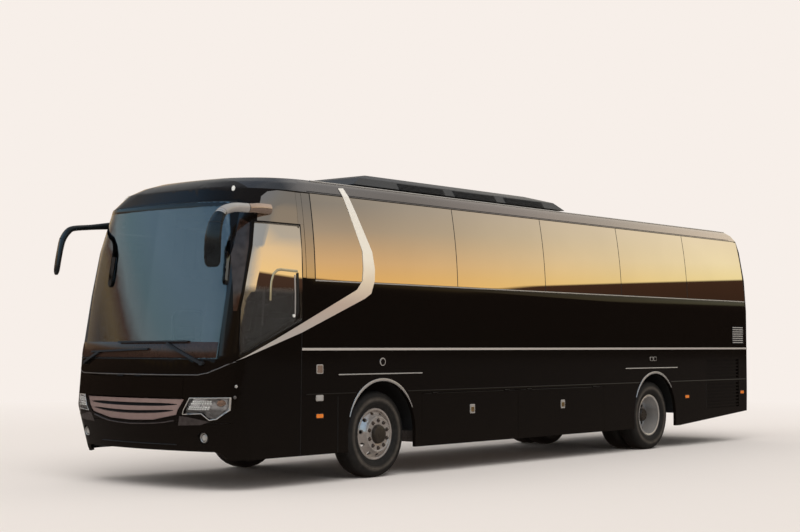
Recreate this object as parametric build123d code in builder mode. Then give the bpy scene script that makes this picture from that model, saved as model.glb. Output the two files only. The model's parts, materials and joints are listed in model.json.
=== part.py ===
"""Two-axle touring coach, 12 m long. Millimetres, +X forward, +Y to the coach's left, +Z up.

The origin is on the ground, midway along the overall length and on the centre plane.
"""
import os
from functools import cache
from math import asin, atan2, cos, degrees, radians, sin, sqrt

from build123d import *

# ---------------------------------------------------------------- driving dimensions
HALF_WIDTH = 1275           # flat body sides
ROOF_Z = 3470
SKIRT_Z = 330
FRONT_AXLE_X = 3220
REAR_AXLE_X = -2980
AXLE_Z = 505                # wheel centre height, the tyre's rolling radius
FRONT_NOSE_X = 5965         # foremost point of the front panel, on the centre line
WALL = 45                   # whole thickness of a side wall, door or roof
GLASS = 10
GAP = 6                     # running gap round every door and flap
TOUCH = 0.3                 # clearance of curved faces that seat on each other

# side lean: the sides are upright to LEAN_Z, then follow a large arc inwards
LEAN_Z = 2100
LEAN_R = 6100
SHOULDER_Z = 3250
SHOULDER_R = 230

# front and rear bow in plan
FRONT_BOW_R = 3700
FRONT_CORNER_R = 420
REAR_BOW_R = 16000

# windows, read along the side
BELT_Z = 2270               # lower edge of the glass band
BAND_TOP_Z = 3250
PANE_X = [4510, 4360, 1795, -125, -2050, -3965, -5760]   # joints between side panes, front to rear
TAIL_LEAN = 105             # how much farther back the last pane and the side end at the belt than at the roof
FRAME = 60                  # frame behind the glass's edge, above and below

# openings in the sides
DRIVER_HEAD_Z = 2855
MID_DOOR_X = (-1530, -680)
HOLD_X = (-1560, 2500)
LUGGAGE_JOINT_X = 520
LUGGAGE_TOP_Z = 970
RADIATOR_X = (-5620, -4550)
RADIATOR_Z = (560, 1320)
ARCH_R = 600
ARCH_Z = 520

# front panel levels
BUMPER_TOP_Z = 725
FLAP_Z = (985, 1205)
FLAP_HALF = 780
SCREEN_Z = (1400, 3080)

# rear panel levels
REAR_SCREEN_Z = (2270, 3120)
REAR_SCREEN_HALF = 950
ENGINE_DOOR_Z = (830, 1760)
ENGINE_DOOR_HALF = 800

# floors
FLOOR_Z = 1290
FLOOR_T = 50
PLATFORM_Z = 1000
HOLD_FLOOR_Z = 400
BULKHEAD_X = 4450

# running gear
TYRE_R = AXLE_Z
TYRE_HALF = 146
FRONT_TRACK_Y = 1045        # mid-plane of a front wheel
TWIN_Y = (720, 1050)        # mid-planes of the inner and outer rear wheels
KINGPIN_Y = 880
KINGPIN_R = 22
RUNNING = 0.05              # radial clearance of a pin in its bore
RAIL_Y = 430
RAIL_W = 70
RAIL_Z = (700, 880)

os.makedirs("parts", exist_ok=True)


def save(builder, name):
    """Writes one node."""
    builder.part.label = name
    export_step(builder.part, f"parts/{name}.step")


def block(x, y, z):
    """A box from its low and high corners along each axis."""
    (x0, x1), (y0, y1), (z0, z1) = sorted(x), sorted(y), sorted(z)
    return Solid.make_box(x1 - x0, y1 - y0, z1 - z0, Plane(origin=(x0, y0, z0)))


def rod(start, end, radius):
    """A cylinder between two points."""
    run = Vector(*end) - Vector(*start)
    return Solid.make_cylinder(radius, run.length, Plane(origin=start, z_dir=run))


def upright(x, y, low, high, radius):
    """A vertical cylinder."""
    return rod((x, y, low), (x, y, high), radius)


def prism(points, run):
    """A straight prism from its end polygon's corners and its run."""
    return Solid.extrude(Face(Wire.make_polygon([Vector(*p) for p in points], close=True)), Vector(*run))


def side_prism(points, y0, y1):
    """A prism across the coach from (x, z) corners."""
    return prism([(x, y0, z) for x, z in points], (0, y1 - y0, 0))


def side_disc(x, z, radius, y0, y1):
    """A cylinder across the coach."""
    return rod((x, y0, z), (x, y1, z), radius)


def mirrored(shape):
    """The same shape on the coach's other side."""
    return shape.mirror(Plane.XZ)


def hinge_parts(at, run, centres):
    """Barrels of a flap's hinges on one axis: what is added to and cut from the fixed side and the flap."""
    run = Vector(*run)

    def span(centre, low, high, radius):
        start = Vector(*at) + run * (centre + low)
        return Solid.make_cylinder(radius, high - low, Plane(origin=start, z_dir=run))

    fixed, flap, fixed_cut, flap_cut = [], [], [], []
    for centre in centres:
        fixed += [span(centre, low, low + 29, BARREL_R) for low in (-50, 21)] + [span(centre, -50, 50, PIN_R)]
        flap.append(span(centre, -20, 20, BARREL_R) - span(centre, -22, 22, PIN_R + RUNNING))
        fixed_cut.append(span(centre, -21, 21, BARREL_R + 1))
        flap_cut += [span(centre, low, low + 31.5, BARREL_R + 1) for low in (-52, 20.5)] + [span(centre, -22, 22, PIN_R + RUNNING)]
    return fixed, flap, fixed_cut, flap_cut


BARREL_R = 8                # flap hinges
PIN_R = 3.5

# ---------------------------------------------------------------- body form
def half_width(z):
    """Half the body's width at height z."""
    if z <= LEAN_Z:
        return HALF_WIDTH
    if z <= SHOULDER_Z:
        return HALF_WIDTH - LEAN_R + sqrt(LEAN_R**2 - (z - LEAN_Z) ** 2)
    lean = asin((SHOULDER_Z - LEAN_Z) / LEAN_R)
    centre_y = HALF_WIDTH - LEAN_R + (LEAN_R - SHOULDER_R) * cos(lean)
    centre_z = LEAN_Z + (LEAN_R - SHOULDER_R) * sin(lean)
    return centre_y + sqrt(SHOULDER_R**2 - (z - centre_z) ** 2)


# height, front x and rear x on the centre line, front and rear corner radius, half width
BODY_LEVELS = [
    (SKIRT_Z, FRONT_NOSE_X - 165, -5995, 400, 80, HALF_WIDTH),
    (860, FRONT_NOSE_X, -6012, FRONT_CORNER_R, 80, HALF_WIDTH),
    (1400, FRONT_NOSE_X - 45, -6012, FRONT_CORNER_R, 80, HALF_WIDTH),
    (LEAN_Z, FRONT_NOSE_X - 170, -6008, FRONT_CORNER_R, 80, HALF_WIDTH),
    (2600, FRONT_NOSE_X - 259, -5990, 470, 90, half_width(2600)),
    (3080, FRONT_NOSE_X - 345, -5942, 650, 110, half_width(3080)),
    (SHOULDER_Z, FRONT_NOSE_X - 490, -5896, 780, 130, half_width(SHOULDER_Z)),
    (3340, FRONT_NOSE_X - 690, -5815, 760, 160, half_width(3340)),
    (3400, FRONT_NOSE_X - 900, -5725, 700, 200, half_width(3400)),
    (3450, FRONT_NOSE_X - 1300, -5580, 500, 200, 720),
    (ROOF_Z, FRONT_NOSE_X - 1800, -5430, 300, 190, 380),
]


def end_arcs(bow_x, bow_r, corner_r, width, facing):
    """The corner centre, and the tangent points of one end of a plan outline."""
    centre = bow_x - facing * bow_r
    run = sqrt((bow_r - corner_r) ** 2 - (width - corner_r) ** 2)
    corner_x = centre + facing * run
    turn = atan2(width - corner_r, run)
    on_bow = (centre + facing * bow_r * cos(turn), bow_r * sin(turn))
    mid = (turn + radians(90)) / 2
    on_corner = (corner_x + facing * corner_r * cos(mid), width - corner_r + corner_r * sin(mid))
    return corner_x, on_bow, on_corner


def plan_outline(front_x, rear_x, width, front_corner, rear_corner, inset, level):
    """One closed plan section of the body, inset on every side."""
    w = width - inset
    fx, f_bow, f_mid = end_arcs(front_x - inset, FRONT_BOW_R - inset, front_corner - inset, w, 1)
    rx, r_bow, r_mid = end_arcs(rear_x + inset, REAR_BOW_R - inset, rear_corner - inset, w, -1)
    nose, tail_end = (front_x - inset, 0), (rear_x + inset, 0)
    runs = [
        ((rx, w), (fx, w)),
        ((fx, w), f_mid, f_bow),
        (f_bow, nose, (f_bow[0], -f_bow[1])),
        ((f_bow[0], -f_bow[1]), (f_mid[0], -f_mid[1]), (fx, -w)),
        ((fx, -w), (rx, -w)),
        ((rx, -w), (r_mid[0], -r_mid[1]), (r_bow[0], -r_bow[1])),
        ((r_bow[0], -r_bow[1]), tail_end, r_bow),
        (r_bow, r_mid, (rx, w)),
    ]
    edges = []
    for run in runs:
        points = [Vector(x, y, level) for x, y in run]
        edges.append(Edge.make_line(*points) if len(points) == 2 else Edge.make_three_point_arc(*points))
    return Wire(edges)


@cache
def body_form(inset, drop=0.0, foot=0.0):
    """The closed outer form of the body, inset in plan, its roof lowered by drop and its foot by foot."""
    outlines = []
    for z, front_x, rear_x, front_corner, rear_corner, width in BODY_LEVELS:
        share = max(0.0, (z - 3080) / (ROOF_Z - 3080))
        level = z - drop * share - (foot if z == SKIRT_Z else 0)
        outlines.append(plan_outline(front_x, rear_x, width, front_corner, rear_corner, inset, level))
    return Solid.make_loft(outlines, ruled=True)


outer = body_form(0)
inner = body_form(WALL, drop=WALL, foot=50)
shell = outer - inner
glass_seat = outer - body_form(GLASS + TOUCH, drop=GLASS + TOUCH, foot=50)
glass_layer = outer - body_form(GLASS, drop=GLASS, foot=50)
trim_layer = body_form(-5, drop=-5) - body_form(-TOUCH, drop=-TOUCH, foot=50)

LOW, HIGH = 200, 3700

# side-view lines where the front panel meets the sides and where the windscreen ends
SEAM = [(5565, LOW), (5565, 1600), (5540, 1936), (5300, 2860), (5150, SHOULDER_Z), (5050, HIGH)]
SCREEN_EDGE = [(5702, 1400), (5577, 2100), (5488, 2600), (5402, SCREEN_Z[1])]
ahead = side_prism(SEAM + [(6300, HIGH), (6300, LOW)], -1500, 1500)
# where the sides end at the rear, upright to the belt and then leaning forward to the roof
TAIL_SEAM = [(PANE_X[-1] - TAIL_LEAN, LOW), (PANE_X[-1] - TAIL_LEAN, BELT_Z), (PANE_X[-1], BAND_TOP_Z)]
behind = side_prism(TAIL_SEAM + [(-6400, BAND_TOP_Z), (-6400, LOW)], -1500, 1500)
skirt_cut = side_prism([(5560, LOW), (5560, 345), (5640, 420), (6300, 420), (6300, LOW)], -1500, 1500)
skirt_cut += side_prism([(-3560, LOW), (-3560, 320), (-6300, 512), (-6300, LOW)], -1500, 1500)
shell -= skirt_cut


def arch(x):
    """What a wheel arch takes out of the sides."""
    return side_disc(x, ARCH_Z, ARCH_R, -1500, 1500) + block((x - ARCH_R, x + ARCH_R), (-1500, 1500), (LOW, ARCH_Z))


# ---------------------------------------------------------------- side windows
def pane_prism(front, rear, edge, y0, y1):
    """The prism of one side pane, drawn in by edge on every side."""
    low, high = BELT_Z + edge, BAND_TOP_Z - 20 - edge
    lean = TAIL_LEAN if rear == PANE_X[-1] else 0
    return side_prism([(front - edge, low), (rear - lean + edge, low), (rear + edge, high), (front - edge, high)], y0, y1)


DRIVER_WINDOW = [(4570, 1810), (5490, 1440), (5490, 1600), (5462, 1936), (5225, DRIVER_HEAD_Z), (4570, DRIVER_HEAD_Z)]
DRIVER_OPENING = [(4625, 1850), (5435, 1525), (5435, 1600), (5405, 1930), (5180, 2800), (4625, 2800)]
LEFT_PANES = list(zip(PANE_X[1:-1], PANE_X[2:]))
RIGHT_PANES = LEFT_PANES[:2] + [(-125, MID_DOOR_X[1] + 14), (MID_DOOR_X[0] - 14, -2050)] + LEFT_PANES[3:]
PANES = [(1, front, rear) for front, rear in LEFT_PANES] + [(-1, front, rear) for front, rear in RIGHT_PANES]

side_glass_cut = block((PANE_X[-1] - TAIL_LEAN, PANE_X[1]), (-1500, 1500), (BELT_Z, BAND_TOP_Z - 20)) - behind
side_glass_cut -= block((MID_DOOR_X[0] - 12, MID_DOOR_X[1] + 12), (-1600, 0), (LOW, HIGH))
driver_cut = side_prism(DRIVER_WINDOW, 500, 1500)
side_windows = [pane_prism(front, rear, FRAME, side * 1000, side * 1500) for side, front, rear in PANES]
driver_opening = side_prism(DRIVER_OPENING, 500, 1500)


# side-view outlines of the passenger doorways on the right, foot first
FRONT_DOORWAY = [(4600, LOW), (5470, LOW), (5470, 2090), (5280, 2850), (4600, 2850)]
MID_DOORWAY = [(-1530, LOW), (-680, LOW), (-680, 2850), (-1530, 2850)]


def doorway(outline, edge=0.0, low=LOW, high=HIGH):
    """A doorway's prism, drawn in by edge and kept between two heights."""
    face = Face(Wire.make_polygon([Vector(x, -1500, z) for x, z in outline], close=True))
    if edge:
        face = Face(face.outer_wire().offset_2d(-edge, kind=Kind.INTERSECTION))
    column = Solid.extrude(face, Vector(0, 500, 0))
    return column & block((-6000, 6000), (-1600, -900), (low, high))


# name, x span, side, foot of the leaf
LUGGAGE_DOORS = [
    ("luggage_door_left_front", (LUGGAGE_JOINT_X, HOLD_X[1]), 1),
    ("luggage_door_left_rear", (HOLD_X[0], LUGGAGE_JOINT_X), 1),
    ("luggage_door_right_front", (LUGGAGE_JOINT_X, HOLD_X[1]), -1),
    ("luggage_door_right_rear", (MID_DOOR_X[1] + 100, LUGGAGE_JOINT_X), -1),
]
side_shell = (shell & block((-5900, 5700), (-1500, 1500), (LOW, BAND_TOP_Z))) - ahead - behind
side_shell = side_shell - arch(FRONT_AXLE_X) - arch(REAR_AXLE_X)
side_shell -= (glass_seat & side_glass_cut)
for pane in side_windows:
    side_shell -= pane
luggage_hinges = {}
for name, (x0, x1), side in LUGGAGE_DOORS:
    side_shell -= block((x0, x1), (side * 1000, side * 1500), (LOW, LUGGAGE_TOP_Z))
    axis_at = (0, side * (HALF_WIDTH + 2), LUGGAGE_TOP_Z - GAP / 2)
    luggage_hinges[name] = hinge_parts(axis_at, (1, 0, 0), (x0 + 250, x1 - 250))
    for cut in luggage_hinges[name][2]:
        side_shell -= cut
    for barrel in luggage_hinges[name][0]:
        side_shell += barrel

radiator_cut = block(RADIATOR_X, (1000, 1500), RADIATOR_Z)
left = side_shell & block((-6100, 6100), (0, 1500), (LOW, HIGH))
left = left - (glass_seat & driver_cut) - driver_opening - radiator_cut
right = side_shell & block((-6100, 6100), (-1500, 0), (LOW, HIGH))
right = right - doorway(FRONT_DOORWAY) - doorway(MID_DOORWAY)

with BuildPart() as side_left:
    add(left)
save(side_left, "side_left")

with BuildPart() as side_right:
    add(right)
save(side_right, "side_right")

with BuildPart() as roof:
    add((shell & block((-6100, 6100), (-1500, 1500), (BAND_TOP_Z, HIGH))) - ahead)
save(roof, "roof")

# ---------------------------------------------------------------- front panel, bumper, flap, lamps
screen_prism = side_prism(SCREEN_EDGE + [(6300, SCREEN_Z[1]), (6300, 1400)], -1500, 1500)
SCREEN_HOLE = [(5752, 1450), (5632, 2100), (5543, 2600), (5462, 3025), (6300, 3025), (6300, 1450)]
flap_prism = block((5700, 6300), (-FLAP_HALF, FLAP_HALF), FLAP_Z)
flap_hole = block((5700, 6300), (-FLAP_HALF - GAP, FLAP_HALF + GAP), (975, FLAP_Z[1] + GAP))


def front_prism(points):
    """A prism along the coach from (y, z) corners on the front."""
    return prism([(5200, y, z) for y, z in points], (1100, 0, 0))


GRILLE = [(-810, 975), (-700, 800), (-350, 738), (0, 728), (350, 738), (700, 800), (810, 975)]
HEADLAMP = [(785, 813), (874, 985), (1234, 990), (1234, 860), (1145, 770), (1080, 756), (1014, 825)]
grille_prism = front_prism(GRILLE)
lamp_prism = front_prism(HEADLAMP)
lamp_prism += mirrored(lamp_prism)
def fog_rod(side, radius):
    """What a fog lamp takes out of the bumper."""
    return rod((5400, side * FOG_AT[0], FOG_AT[1]), (6100, side * FOG_AT[0], FOG_AT[1]), radius)


FOG_AT = (970, 570)
fog_holes = fog_rod(1, 62) + fog_rod(-1, 62)
PLATE_HOLES = 300
PLATE_HOLE_R = 3.5
FRONT_PLATE_Z = 560
REAR_PLATE_Z = 640

front = (shell & ahead)
flap_hinge = hinge_parts((5938, 0, FLAP_Z[1] + GAP / 2), (0, 1, 0), (-150, 150))
with BuildPart() as front_panel:
    add(front & block((4000, 6300), (-1500, 1500), (BUMPER_TOP_Z, HIGH)))
    add((glass_seat & screen_prism) + side_prism(SCREEN_HOLE, -1500, 1500), mode=Mode.SUBTRACT)
    add(flap_hole, mode=Mode.SUBTRACT)
    add(grille_prism, mode=Mode.SUBTRACT)
    add(lamp_prism, mode=Mode.SUBTRACT)
    add(flap_hinge[2], mode=Mode.SUBTRACT)
    add(flap_hinge[0])
save(front_panel, "front_panel")

with BuildPart() as front_bumper:
    add(front & block((4000, 6300), (-1500, 1500), (LOW, BUMPER_TOP_Z - 4)))
    add(fog_holes, mode=Mode.SUBTRACT)
    for side in (1, -1):
        add(rod((5600, side * PLATE_HOLES / 2, FRONT_PLATE_Z), (6100, side * PLATE_HOLES / 2, FRONT_PLATE_Z), PLATE_HOLE_R), mode=Mode.SUBTRACT)
save(front_bumper, "front_bumper")

with BuildPart() as front_flap:
    add((outer - body_form(12, foot=50)) & flap_prism)
    add(flap_hinge[1])
    add(flap_hinge[3], mode=Mode.SUBTRACT)
save(front_flap, "front_flap")

with BuildPart() as grille:
    add((body_form(-12, drop=-5) - body_form(30, foot=50)) & grille_prism)
    for low, high, half in ((768, 826, 690), (846, 905, 735)):
        add((body_form(-20) - body_form(2, foot=50)) & block((5000, 6300), (-half, half), (low, high)), mode=Mode.SUBTRACT)
save(grille, "grille")

with BuildPart() as front_lamps:
    add((outer - body_form(40, foot=50)) & lamp_prism & ahead)
    for side in (1, -1):
        add((outer - body_form(60, foot=50)) & fog_rod(side, 62 - TOUCH))
save(front_lamps, "front_lamps")

with BuildPart() as windscreen:
    add(glass_layer & screen_prism)
save(windscreen, "windscreen")

# ---------------------------------------------------------------- side and rear glass
with BuildPart() as side_glass:
    for side, front_x, rear_x in PANES:
        add(glass_layer & pane_prism(front_x, rear_x, 3, side * 1000, side * 1500))
    add((glass_layer & driver_cut) - ahead)
save(side_glass, "side_glass")

rear_screen = block((-6300, -5865), (-REAR_SCREEN_HALF, REAR_SCREEN_HALF), REAR_SCREEN_Z)
engine_door = block((-6300, -5800), (-ENGINE_DOOR_HALF, ENGINE_DOOR_HALF), ENGINE_DOOR_Z)
engine_hole = block((-6300, -5800), (-ENGINE_DOOR_HALF - GAP, ENGINE_DOOR_HALF + GAP), (ENGINE_DOOR_Z[0] - 12, ENGINE_DOOR_Z[1] + GAP))
# low and high y, low and high z of the tail lamps on the left
TAIL_LAMPS = [(930, 1130, 900, 1180), (930, 1130, 1200, 1480), (1000, 1080, 3000, 3080)]
tail = shell & behind
lid_hinge = hinge_parts((-6013, 0, ENGINE_DOOR_Z[1] + GAP / 2), (0, 1, 0), (-200, 200))
with BuildPart() as rear_panel:
    add(tail)
    add(glass_seat & rear_screen, mode=Mode.SUBTRACT)
    add(block((-6300, -5500), (-REAR_SCREEN_HALF + 60, REAR_SCREEN_HALF - 60), (REAR_SCREEN_Z[0] + 60, REAR_SCREEN_Z[1] - 60)), mode=Mode.SUBTRACT)
    add(engine_hole, mode=Mode.SUBTRACT)
    for side in (1, -1):
        add(rod((-6100, side * PLATE_HOLES / 2, REAR_PLATE_Z), (-5800, side * PLATE_HOLES / 2, REAR_PLATE_Z), PLATE_HOLE_R), mode=Mode.SUBTRACT)
    for y0, y1, z0, z1 in TAIL_LAMPS:
        for side in (1, -1):
            add(block((-6300, -5740), (side * y0, side * y1), (z0, z1)), mode=Mode.SUBTRACT)
    add(lid_hinge[2], mode=Mode.SUBTRACT)
    add(lid_hinge[0])
save(rear_panel, "rear_panel")

with BuildPart() as rear_window:
    add(glass_layer & rear_screen)
save(rear_window, "rear_window")

with BuildPart() as engine_lid:
    add(shell & engine_door)
    add(lid_hinge[1])
    add(lid_hinge[3], mode=Mode.SUBTRACT)
save(engine_lid, "engine_lid")

with BuildPart() as tail_lamps:
    for y0, y1, z0, z1 in TAIL_LAMPS:
        for side in (1, -1):
            add((outer - body_form(30, foot=50)) & block((-6300, -5740), (side * y0, side * y1), (z0, z1)))
save(tail_lamps, "tail_lamps")

with BuildPart() as radiator_grille:
    add((body_form(25, foot=50) - inner) & block(RADIATOR_X, (1000, 1500), RADIATOR_Z))
    slats = (body_form(6, foot=50) - body_form(30, foot=50)) & block(RADIATOR_X, (1000, 1500), RADIATOR_Z)
    for i in range(14):
        low = RADIATOR_Z[0] + 20 + i * 53
        add(slats & block(RADIATOR_X, (1000, 1500), (low, low + 22)))
save(radiator_grille, "radiator_grille")

# ---------------------------------------------------------------- luggage doors and passenger doors
for name, (x0, x1), side in LUGGAGE_DOORS:
    with BuildPart() as luggage_door:
        add(shell & block((x0 + GAP / 2, x1 - GAP / 2), (side * 1000, side * 1500), (LOW, LUGGAGE_TOP_Z - GAP)))
        add(luggage_hinges[name][1])
        add(luggage_hinges[name][3], mode=Mode.SUBTRACT)
    save(luggage_door, name)

# name, doorway, foot of the glass, side the arm's post stands on (+1 front, -1 rear)
PASSENGER_DOORS = [("front_door", FRONT_DOORWAY, 1100, 1), ("mid_door", MID_DOORWAY, 1100, -1)]
ARM_Z = (1130, 1170)
POST_Y = -HALF_WIDTH + 125  # post axes, inboard of the flat side
POSTS_X = (FRONT_DOORWAY[1][0] - 80, MID_DOORWAY[0][0] + 80)
ARM_REACH = 480
ARM_BOW = (85, 147)
ARM_BOSS = 26
for name, outline, glass_foot, end in PASSENGER_DOORS:
    pane_seat = doorway(outline, 45, glass_foot)
    hole = doorway(outline, 90, glass_foot + 50)
    post_x = POSTS_X[0] if end > 0 else POSTS_X[1]
    post_y = POST_Y
    lug_x = post_x - end * ARM_REACH
    with BuildPart() as leaf:
        add((shell & doorway(outline, GAP, SKIRT_Z + 20)) - (glass_seat & pane_seat) - hole)
        add(block((lug_x - 60, lug_x + 60), (-HALF_WIDTH + WALL - 1, post_y + 30), (ARM_Z[0] - 40, ARM_Z[0] - 6)))
        add(upright(lug_x, post_y, ARM_Z[0] - 30, ARM_Z[1] + 10, 12))
    save(leaf, name)
    with BuildPart() as leaf_glass:
        add(glass_layer & doorway(outline, 48, glass_foot + 3))
    save(leaf_glass, name + "_glass")
    with BuildPart() as arm:
        with BuildSketch(Plane.XY.offset(ARM_Z[0])):
            path = [(post_x, post_y), (post_x - end * ARM_BOW[0], post_y + ARM_BOW[1]), (post_x - end * (ARM_REACH - 90), post_y + 90), (lug_x, post_y)]
            for (ax, ay), (bx, by) in zip(path, path[1:]):
                with Locations(((ax + bx) / 2, (ay + by) / 2)):
                    SlotCenterToCenter(max(1.0, sqrt((bx - ax) ** 2 + (by - ay) ** 2)), 34, rotation=degrees(atan2(by - ay, bx - ax)))
            with Locations((post_x, post_y), (lug_x, post_y)):
                Circle(ARM_BOSS)
        extrude(amount=ARM_Z[1] - ARM_Z[0])
        add(upright(lug_x, post_y, ARM_Z[0] - 10, ARM_Z[1] + 10, 12 + RUNNING), mode=Mode.SUBTRACT)
        add(upright(post_x, post_y, 422, ARM_Z[1] + 450, 15))
    save(arm, name + "_arm")

# ---------------------------------------------------------------- floors, hold, frames
FLOOR_Y = HALF_WIDTH - WALL - 2
lining = body_form(WALL + TOUCH, drop=WALL, foot=50)
SLAB_Z = (FLOOR_Z - FLOOR_T, FLOOR_Z)
PLATFORM_SLAB_Z = (PLATFORM_Z - 40, PLATFORM_Z)
NOTCH_Y = -480              # inner end of the middle stairwell
CAB_Y = -340                # inner end of the front stairwell
# x, y and z spans of the floor's panels, which meet with a 0.3 mm joint
FLOOR_PANELS = [
    ((-5700, MID_DOOR_X[0] - 4), (-FLOOR_Y, FLOOR_Y), SLAB_Z),
    ((MID_DOOR_X[0] - 4 + TOUCH, MID_DOOR_X[1] + 4), (NOTCH_Y, FLOOR_Y), SLAB_Z),
    ((MID_DOOR_X[1] + 4 + TOUCH, BULKHEAD_X), (-FLOOR_Y, FLOOR_Y), SLAB_Z),
]
PLATFORM_PANELS = [
    ((BULKHEAD_X + TOUCH, 5560), (CAB_Y, FLOOR_Y), PLATFORM_SLAB_Z),
    ((BULKHEAD_X - 25, BULKHEAD_X), (-FLOOR_Y, FLOOR_Y), (PLATFORM_SLAB_Z[0], SLAB_Z[0] - TOUCH)),
]
for name, panels in (("floor", FLOOR_PANELS), ("cab_platform", PLATFORM_PANELS)):
    with BuildPart() as deck:
        for spans in panels:
            add(block(*spans) & lining)
    save(deck, name)

# name, x span, y from the door inwards, tops of the steps, top of the floor they lead to
STAIRS = [
    ("front_steps", (BULKHEAD_X + TOUCH, 5480), (-1215, -925, -632, CAB_Y - TOUCH), (420, 613, 806), PLATFORM_Z),
    ("mid_steps", (MID_DOOR_X[0] - 30, MID_DOOR_X[1] + 30), (-1215, -970, -725, NOTCH_Y - TOUCH), (420, 710, 1000), FLOOR_Z),
]
sill_cut = (lining - body_form(WALL + 8, drop=WALL, foot=50)) & block((4570, 5480), (-1500, -900), (LOW, HIGH))
for (name, span, ys, tops, floor_top), post_x in zip(STAIRS, POSTS_X):
    with BuildPart() as steps:
        for i, top in enumerate(tops):
            next_top = tops[i + 1] - 40 if i < 2 else floor_top - 60
            add(block(span, (ys[i], ys[i + 1]), (top - 40, top)) & lining)
            add(block(span, (ys[i + 1] - 20, ys[i + 1]), (top + TOUCH, next_top - TOUCH)))
        add(sill_cut, mode=Mode.SUBTRACT)
        add(upright(post_x, POST_Y, 400, 450, 32))
        add(upright(post_x, POST_Y, 421, 460, 15 + RUNNING), mode=Mode.SUBTRACT)
    save(steps, name)

with BuildPart() as hold:
    add(block((HOLD_X[0] + 30, HOLD_X[1] - 10), (-FLOOR_Y + 8, FLOOR_Y), (HOLD_FLOOR_Z - 25, HOLD_FLOOR_Z)))
    add(block((HOLD_X[1] - 30, HOLD_X[1] - 10), (-FLOOR_Y + 8, FLOOR_Y), (HOLD_FLOOR_Z - 25, FLOOR_Z - FLOOR_T)))
    add(block((HOLD_X[0] + 30, HOLD_X[0] + 50), (-FLOOR_Y + 8, FLOOR_Y), (HOLD_FLOOR_Z - 25, FLOOR_Z - FLOOR_T)))
    add(block((MID_DOOR_X[0] - 35, MID_DOOR_X[1] + 55), (-FLOOR_Y - 20, -450), (LOW, FLOOR_Z + 10)), mode=Mode.SUBTRACT)
    add(block((MID_DOOR_X[1] + 55, MID_DOOR_X[1] + 75), (-FLOOR_Y + 8, -430), (HOLD_FLOOR_Z - 25, FLOOR_Z - FLOOR_T)))
    add(block((HOLD_X[0] + 30, MID_DOOR_X[1] + 75), (-450, -430), (HOLD_FLOOR_Z - 25, FLOOR_Z - FLOOR_T)))
save(hold, "hold")

# low and high x of each pair of rails, their offset from the centre plane, cross members, top of their posts
FRAMES = [
    ((HOLD_X[1], 4400), RAIL_Y, (2560, 3000, 3440, 4000), FLOOR_Z - FLOOR_T),
    ((4300, 5600), 220, (4370, 4900, 5500), PLATFORM_Z - 40),
    ((-5700, HOLD_X[0] + 25), RAIL_Y, (-5660, -4300, -3600, -2400, -1600), FLOOR_Z - FLOOR_T),
]
with BuildPart() as underframe:
    for (x0, x1), rail_y, members, post_top in FRAMES:
        for side in (1, -1):
            add(block((x0, x1), (side * (rail_y - RAIL_W / 2), side * (rail_y + RAIL_W / 2)), RAIL_Z))
            for x in members:
                if x != 4370:
                    add(block((x - 30, x + 30), (side * (rail_y - 30), side * (rail_y + 30)), (RAIL_Z[1], post_top)))
        for x in members:
            reach = RAIL_Y if x == 4370 else rail_y
            add(block((x - 30, x + 30), (-reach, reach), (RAIL_Z[0] + 20, RAIL_Z[1] - 20)))
save(underframe, "underframe")

# ---------------------------------------------------------------- running gear
with BuildPart() as front_axle:
    add(block((FRONT_AXLE_X - 45, FRONT_AXLE_X + 45), (-KINGPIN_Y + 30, KINGPIN_Y - 30), (450, 560)))
    for side in (1, -1):
        add(upright(FRONT_AXLE_X, side * KINGPIN_Y, 440, 570, 48))
        add(upright(FRONT_AXLE_X, side * KINGPIN_Y, 400, 610, KINGPIN_R + RUNNING), mode=Mode.SUBTRACT)
save(front_axle, "front_axle")

for name, side in (("knuckle_left", 1), ("knuckle_right", -1)):
    ky = side * KINGPIN_Y
    with BuildPart() as knuckle:
        for low in (395, 575):
            add(upright(FRONT_AXLE_X, ky, low, low + 40, 48))
            add(block((FRONT_AXLE_X - 40, FRONT_AXLE_X + 40), (ky, ky + side * 85), (low, low + 40)))
        add(block((FRONT_AXLE_X - 50, FRONT_AXLE_X + 50), (ky + side * 57, ky + side * 85), (395, 615)))
        add(upright(FRONT_AXLE_X, ky, 395, 615, KINGPIN_R))
        add(rod((FRONT_AXLE_X, ky + side * 70, AXLE_Z), (FRONT_AXLE_X, ky + side * 240, AXLE_Z), 35))
        add(block((FRONT_AXLE_X - 190, FRONT_AXLE_X), (ky - 20, ky + 20), (395, 435)))
        add(upright(FRONT_AXLE_X - 190, ky, 395, 435, 28))
        add(upright(FRONT_AXLE_X - 190, ky, 345, 400, 12))
    save(knuckle, name)

with BuildPart() as tie_rod:
    add(rod((FRONT_AXLE_X - 190, -KINGPIN_Y + 15, 370), (FRONT_AXLE_X - 190, KINGPIN_Y - 15, 370), 16))
    for side in (1, -1):
        add(upright(FRONT_AXLE_X - 190, side * KINGPIN_Y, 351, 389, 28))
        add(upright(FRONT_AXLE_X - 190, side * KINGPIN_Y, 330, 410, 12 + RUNNING), mode=Mode.SUBTRACT)
save(tie_rod, "tie_rod")

with BuildPart() as rear_axle:
    for half, radius in ((565, 75), (1010, 60), (100, 180)):
        add(side_disc(REAR_AXLE_X, AXLE_Z, radius, -half, half))
    for side in (1, -1):
        add(block((REAR_AXLE_X - 480, REAR_AXLE_X + 480), (side * (RAIL_Y - 30), side * (RAIL_Y + 30)), (385, 435)))
save(rear_axle, "rear_axle")

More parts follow.
